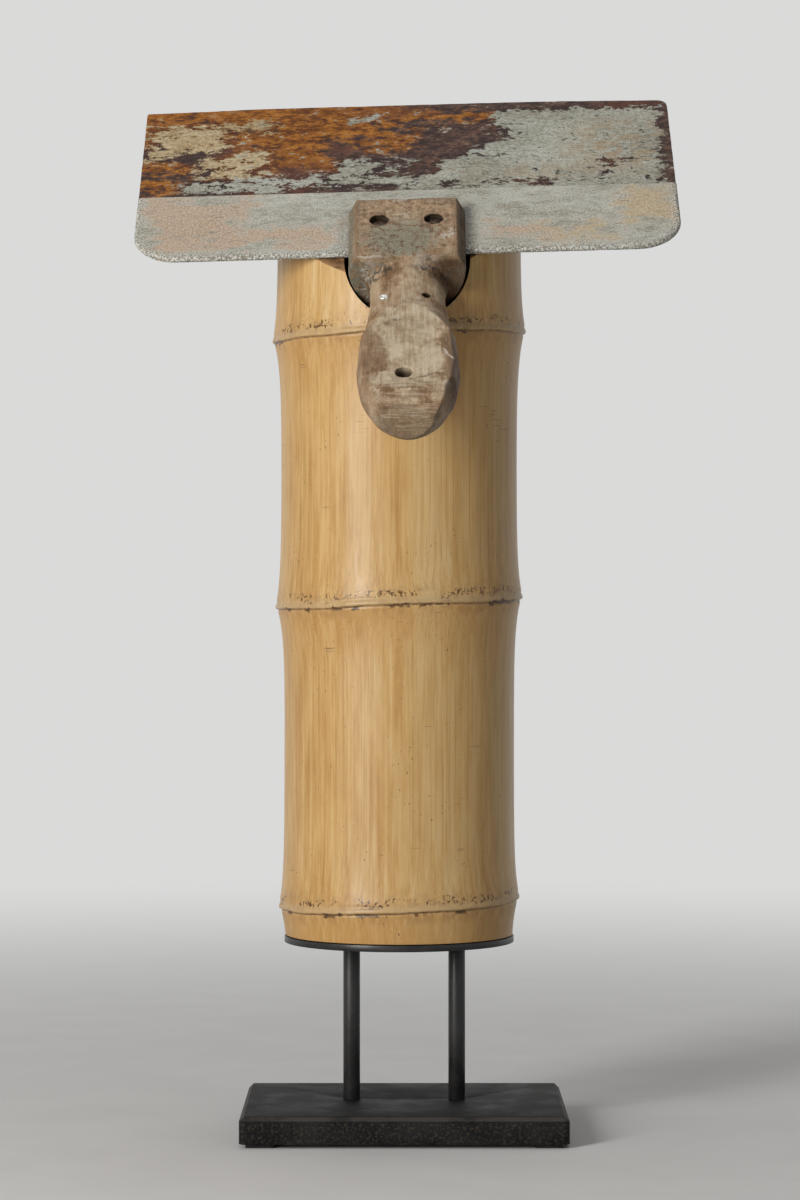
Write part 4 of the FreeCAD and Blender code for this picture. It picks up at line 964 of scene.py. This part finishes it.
def inside_rings():
    """Down the inside and over the floor at the top node."""
    floor = NODES[2].level - FLOOR_BELOW_NODE
    top = cut_height(CULM_X + OUT_X * TOP_INSIDE, OUT_Y * TOP_INSIDE) - CUT_EDGE
    rings = []
    for share in np.linspace(0, 1, 22):
        radius = TOP_INSIDE + 0.12 * wave(share * 90, 9, 30) * (share < 1)
        rings.append(ring(radius, top * (1 - share) + (floor + FLOOR_FILLET) * share, INSIDE))
    for bend in np.radians((15, 30, 45, 60, 75, 90)):
        rings.append(ring(TOP_INSIDE - FLOOR_FILLET * (1 - math.cos(bend)),
                        floor + FLOOR_FILLET * (1 - math.sin(bend)), INSIDE))
    for radius in (38, 31, 24, 17, 11, 6, 2, 0.0):
        rings.append(ring(radius, floor + 0.8 * wave(radius, 12, 50) * (radius > 1) - 0.3, INSIDE))
    return rings


def make_culm():
    """Foot, skin, sawn face and inside as one closed grid of rings, and the notch cut out of it."""
    points, kinds, ridges = zip(*foot_rings(), *skin_and_face_rings(), *inside_rings())
    # A band of faces takes the cut's look if either of its rings is sawn and neither is inside
    looks = []
    for pair in zip(kinds, kinds[1:]):
        looks += [CUT if CUT in pair and INSIDE not in pair else max(pair)] * COLUMNS
    item = mesh_object("culm", np.concatenate(points), grid_faces(len(points), COLUMNS, True),
                       CULM_LOOKS, looks)
    away = np.concatenate(ridges)
    store(item, "ridge", away)
    store(item, "near", np.clip(1 - np.abs(away) / NEAR_REACH, 0, 1))
    merge_close(item, 0.001)
    cut_notch(item)
    smooth(item, 50)
    place(item, "stand", "bamboo", "bamboo_culm")


# The scraper

def hole_wear(local):
    """How deep each point lies in a hole of the head, as a share of painted shade, and how far the
    holes' rims are chipped.
    """
    u, v, w = local.T
    deep = np.zeros(len(local))
    chipped = np.zeros(len(local))
    for hole_u, hole_v, radius, fade, strength in HOLES:
        away = np.hypot(u - hole_u, v - hole_v)
        round_it = (away > radius + 0.6) & (away < radius + 1.3) & (w > 0.5)
        surface = np.median(w[round_it])
        down = np.clip((surface - 0.25 - w) / fade, 0, 1) * strength
        deep = np.maximum(deep, np.where(away < radius + 0.4, down, 0))
        rim = np.exp(-((away - radius) / 0.7) ** 2) * (w > surface - 2.5)
        chipped += rim * np.clip(fractal(local, 1.8, 2, 31) + 0.25, 0, 1) * radius * 0.16
    return deep, chipped


def open_pin_bore(points):
    """Push points out of the bore round the locating pin, so that it stays open."""
    low, high = (np.array(corner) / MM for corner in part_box("locating_pin"))
    from_pin = points[:, :2] - ((low + high) / 2)[:2]
    away = np.hypot(*from_pin.T)
    in_bore = (away < PIN_BORE + 1.0) & (points[:, 2] < high[2] + 1.0)
    wider = np.where(in_bore, np.maximum(away, PIN_BORE) / np.maximum(away, 0.1), 1.0)
    points[:, :2] += from_pin * (wider - 1)[:, None]


def make_handle():
    """The handle's wood, softened by wear: the exact shape with worn edges, dents and grain."""
    item = copy_of("handle", "handle_wood")
    voxel = 0.5 * MM
    modify(item, "REMESH", mode="VOXEL", voxel_size=voxel, use_smooth_shade=True)
    modify(item, "SMOOTH", factor=0.5, iterations=5)
    local = to_scraper(vectors_of(item, "co") / MM)
    _, v, w = local.T
    worn = -0.28 - 0.28 * fractal(local * (1, 0.4, 1), 11, 3, 5)
    grain = 0.10 * fractal(local * (1, 0.06, 1), 1.5, 3, 6)
    dents = -0.35 * np.clip((fractal(local, 5.0, 2, 8) - 0.45) / 0.4, 0, 1)
    in_slot = (w < 0.4) & (w > -3.4) & (v > -1)
    deep, chipped = hole_wear(local)
    move = np.where(in_slot, 0.0, worn + grain + dents - chipped)
    moved = to_object(local + (vectors_of(item, "normal") @ SCRAPER_TURN) * move[:, None])
    open_pin_bore(moved)
    item.data.vertices.foreach_set("co", (moved * MM).astype(np.float32).ravel())
    item.data.update()
    store(item, "tool", local)
    store(item, "deep", deep)
    item.data.materials.clear()
    item.data.materials.append(WOOD)
    place(item, "scraper", "handle_wood", "handle")


def spaced(count, ends):
    """Shares from 0 to 1, closer together near both ends."""
    even = np.linspace(0, 1, count)
    return (1 - ends) * even + ends * (1 - np.cos(even * math.pi)) / 2


def rounding(inward, radius):
    """How far a rounded edge falls back, at a distance in from the edge."""
    past = np.maximum(radius - inward, 0)
    return radius - np.sqrt(np.maximum(radius ** 2 - past ** 2, 0))


def plate_object(name, u, v, front, back, material, edge):
    """A closed sheet from a front and a back height over the same outline."""
    rows, columns = u.shape
    faces = grid_faces(rows, columns, False)
    count = rows * columns
    faces += [tuple(index + count for index in face[::-1]) for face in faces]
    rim = list(range(columns))
    rim += [row * columns + columns - 1 for row in range(1, rows)]
    rim += [(rows - 1) * columns + i for i in range(columns - 2, -1, -1)]
    rim += [row * columns for row in range(rows - 2, 0, -1)]
    for here, there in zip(rim, rim[1:] + rim[:1]):
        faces.append((there, here, here + count, there + count))
    local = np.concatenate([np.stack([u, v, w], -1).reshape(-1, 3) for w in (front, back)])
    item = mesh_object(name, to_object(local), faces, [material])
    store(item, "tool", local)
    store(item, "edge", np.tile(edge.ravel(), 2))
    smooth(item, 40)
    return item


def make_back_strip():
    """The folded strip: dented leaves, a round fold below and a thin step onto the blade."""
    across, up = ((440, 84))
    straight = STRIP_HALF - STRIP_CORNER
    end = straight + STRIP_CORNER * np.sin(np.linspace(0, math.pi / 2, 40)[1:])
    columns = np.concatenate([-end[::-1], np.linspace(-straight, straight, across), end])
    u = np.broadcast_to(columns, (up, len(columns)))
    past = np.maximum(np.abs(u) - straight, 0)
    low = rounding(STRIP_CORNER - past, STRIP_CORNER)
    v = low + (STRIP_WIDTH - low) * spaced(up, 0.6)[:, None]
    spot = np.stack([u, v, u * 0], -1)
    from_centre = np.hypot(past, np.maximum(STRIP_CORNER - v, 0))
    in_corner = (v < STRIP_CORNER) & (past > 0)
    to_edge = np.where(
        in_corner, STRIP_CORNER - from_centre, np.minimum(v, STRIP_HALF - np.abs(u))
    )
    to_edge = np.maximum(to_edge, 0)
    rounded = rounding(to_edge, STRIP_FOLD)
    dents = 0.16 * fractal(spot, 30, 2, 11) + 0.07 * fractal(spot, 6, 2, 12)
    flat = np.clip(to_edge / 4, 0, 1)
    under_head = (np.abs(u) < 29) & (v < 34)
    dents = np.where(under_head, 0, dents) * flat - 0.10 * ~under_head
    thinned = rounding(np.minimum(STRIP_WIDTH - v, STRIP_LIP), STRIP_LIP)
    front = dents - rounded - thinned
    back = -STRIP_THICKNESS + rounded * 0.98 + 0.05 * flat + thinned
    nick = 0.25 * fractal(spot * (1, 0, 0), 5, 3, 14) * np.clip(1 - to_edge / 2, 0, 1)
    v = v + np.abs(nick) * (v < 30)
    item = plate_object("back_strip_steel", u, v, front, back, PLASTERED, to_edge)
    place(item, "scraper", "strip_steel", "back_strip")


def make_blade():
    """The blade: thin, slightly buckled, with a bowed edge that rust has eaten into."""
    across, up = ((640, 150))
    along = np.broadcast_to(spaced(across, 0.3) * 2 - 1, (up, across))
    u = along * BLADE_HALF
    top = BLADE_LEFT_V + (BLADE_RIGHT_V - BLADE_LEFT_V) * (along + 1) / 2
    top = top + BLADE_BOW * (1 - along ** 2)
    spot = np.stack([u, u * 0, u * 0], -1)
    bites = np.clip((fractal(spot, 11, 2, 16) - 0.55) / 0.3, 0, 1)
    top = top + 0.18 * fractal(spot, 7, 4, 15) - 0.2 - bites
    top = top - rounding(BLADE_HALF - u, BLADE_WORN_CORNER)
    top = top - rounding(BLADE_HALF + u, BLADE_SHARP_CORNER)
    start = STRIP_WIDTH - BLADE_IN_FOLD
    v = start + (top - start) * spaced(up, 0.3)[:, None]
    sides = 0.22 * fractal(np.stack([v * 0, v, v * 0], -1), 6, 3, 17)
    u = u - np.sign(u) * (np.abs(sides) + 0.05) * np.clip((np.abs(along) - 0.9) / 0.1, 0, 1)
    spot = np.stack([u, v, u * 0], -1)
    buckle = 0.55 * fractal(spot * (1, 0.7, 1), 70, 2, 18)
    buckle = buckle * np.clip((v - STRIP_WIDTH) / 25, 0, 1)
    pitting = 0.06 * fractal(spot * (0.5, 1, 1), 3, 3, 19)
    free = np.clip((v - STRIP_WIDTH - 0.5) / 3, 0, 1)
    middle = (BLADE_FRONT_W + BLADE_BACK_W) / 2 + buckle
    half = (BLADE_FRONT_W - BLADE_BACK_W) / 2 * (np.clip((top - v) / 3.0, 0, 1) * 0.5 + 0.5)
    front = middle + half + pitting * free
    back = middle - half + pitting[::-1] * 0.5 * free
    item = plate_object("blade_sheet", u, v, front, back, RUST, top - v)
    place(item, "scraper", "blade_steel", "scraper_blade")


def make_nail():
    """Nail with a domed, hammered head. Its profile is radii and heights above the wood."""
    head_radius, shank_radius = 2.1, 1.0
    profile = [(0.01, 0.85), (0.8, 0.82), (1.4, 0.66), (1.85, 0.42), (head_radius, 0.1),
               (head_radius, -0.15), (1.9, -0.3), (shank_radius, -0.35), (shank_radius, -11.5),
               (0.01, -14.0)]
    sides = 40
    points = []
    for radius, height in profile:
        for turn in np.arange(sides) * (2 * math.pi / sides):
            points.append((NAIL_U + radius * math.cos(turn), NAIL_V + radius * math.sin(turn),
                           NAIL_W + height))
    local = np.array(points)
    local[:, 2] += 0.08 * fractal(local, 1.6, 2, 25) * (local[:, 2] > 1.7)
    faces = grid_faces(len(profile), sides, True)
    item = mesh_object("nail", to_object(local), faces, [NAIL_STEEL])
    merge_close(item, 0.02)
    smooth(item, 50)
    place(item, "scraper", "nail_steel", "neck_nail")


# Plain hard pieces

def make_bevelled(node, name, body, slot, material, width):
    """A hard piece with its exact shape and slightly rounded edges."""
    item = copy_of(node, name)
    item.data.materials.append(material)
    modify(item, "BEVEL", width=width * MM, segments=2, limit_method="ANGLE",
           angle_limit=math.radians(35), use_clamp_overlap=True)
    smooth(item, 40)
    place(item, body, slot, node)


make_culm()
make_handle()
make_back_strip()
make_blade()
make_nail()
FEET = [(f"{corner}_foot", f"{corner}_rubber", "foot_rubber", RUBBER, 0.35)
        for corner in ("front_left", "front_right", "back_left", "back_right")]
for node, name, slot, material, width in (
    ("base_plate", "base_plate_steel", "stand_steel", BLACK, 0.5),
    ("support_disc", "disc_steel", "stand_steel", BLACK_ROUND, 0.25),
    ("left_rod", "left_rod_steel", "stand_steel", BLACK_ROUND, 0.2),
    ("right_rod", "right_rod_steel", "stand_steel", BLACK_ROUND, 0.2),
    *FEET,
    ("base_screws", "base_screws_steel", "screw_steel", PLAIN_STEEL, 0.12),
    ("disc_screws", "disc_screws_steel", "screw_steel", PLAIN_STEEL, 0.12),
    ("plug_screws", "plug_screws_steel", "screw_steel", PLAIN_STEEL, 0.1),
    ("foot_plug", "plug_disc_wood", "plug_wood", PLUG, 0.3),
    ("locating_pin", "pin_steel", "screw_steel", PLAIN_STEEL, 0.3),
):
    make_bevelled(node, name, "stand", slot, material, width)
make_bevelled("handle_rivets", "rivets_steel", "scraper", "rivet_steel", RUSTED_STEEL, 0.3)
make_bevelled("rivet_washers", "washers_steel", "scraper", "rivet_steel", RUSTED_STEEL, 0.15)


# Floor, light and camera, in metres

def make_floor():
    """A plain pale floor that fades into a background of the same colour."""
    mesh = bpy.data.meshes.new("floor")
    with opened(mesh) as work:
        bmesh.ops.create_circle(work, cap_ends=True, segments=96, radius=30.0)
    s = Surface("floor", 0.15)
    s.colour = s.ramp(
        s.noise(EVEN, 60), (0.3, 0.84, 0.84, 0.835), (0.7, 0.87, 0.87, 0.865)
    )
    s.finish(0.85)
    distance = s.node("VectorMath", "Value", operation="LENGTH", inputs={
        0: s.node("TexCoord", "Object"),
    })
    seen = s.background(s.shader.outputs[0], s.step(distance, 0.12, 1.5))
    s.put(s.tree.nodes["Material Output"].inputs["Surface"], seen)
    mesh.materials.append(s.material)
    linked("floor", mesh)


def make_world():
    """Even, dim light from all round, and the pale background that the camera sees."""
    world = bpy.data.worlds.new("studio")
    bpy.context.scene.world = world
    world.use_nodes = True
    s = ShaderTree(world.node_tree)
    s.tree.nodes.clear()
    lit = s.node("Background", inputs={"Color": (1.0, 0.975, 0.95, 1), "Strength": 0.10})
    output = s.tree.nodes.new("ShaderNodeOutputWorld")
    s.put(output.inputs["Surface"], s.background(lit, 1.0))


def make_light(name, place_at, aim_height, size, power, colour):
    """A soft rectangular lamp that points at the object's axis."""
    data = bpy.data.lights.new(name, "AREA")
    data.shape = "RECTANGLE"
    data.size, data.size_y = size
    data.energy = power
    data.color = colour
    item = linked(name, data)
    item.location = place_at
    item.rotation_mode = "QUATERNION"
    aim = Vector((0, 0, aim_height)) - Vector(place_at)
    item.rotation_quaternion = aim.to_track_quat("-Z", "Y")
    item.visible_camera = False


def make_camera():
    """Level camera at the photo's place, with its long lens."""
    data = bpy.data.cameras.new("camera")
    data.sensor_width = 36.0
    data.lens = 102.7
    item = linked("camera", data)
    item.location = (-0.002, -1.630, 0.2524)
    item.rotation_euler = (math.radians(90), 0, 0)
    bpy.context.scene.camera = item


make_floor()
make_world()
make_light("key", (-1.38, -1.74, 0.80), 0.28, (0.62, 1.1), 42, (1.0, 0.985, 0.96))
make_light("fill", (1.6, -1.7, 1.0), 0.28, (1.6, 1.6), 1.0, (1.0, 0.98, 0.96))
make_light("top", (0.1, 0.3, 2.2), 0.3, (1.6, 1.6), 8, (1.0, 1.0, 1.0))
make_camera()
bpy.context.scene.view_settings.view_transform = "Standard"
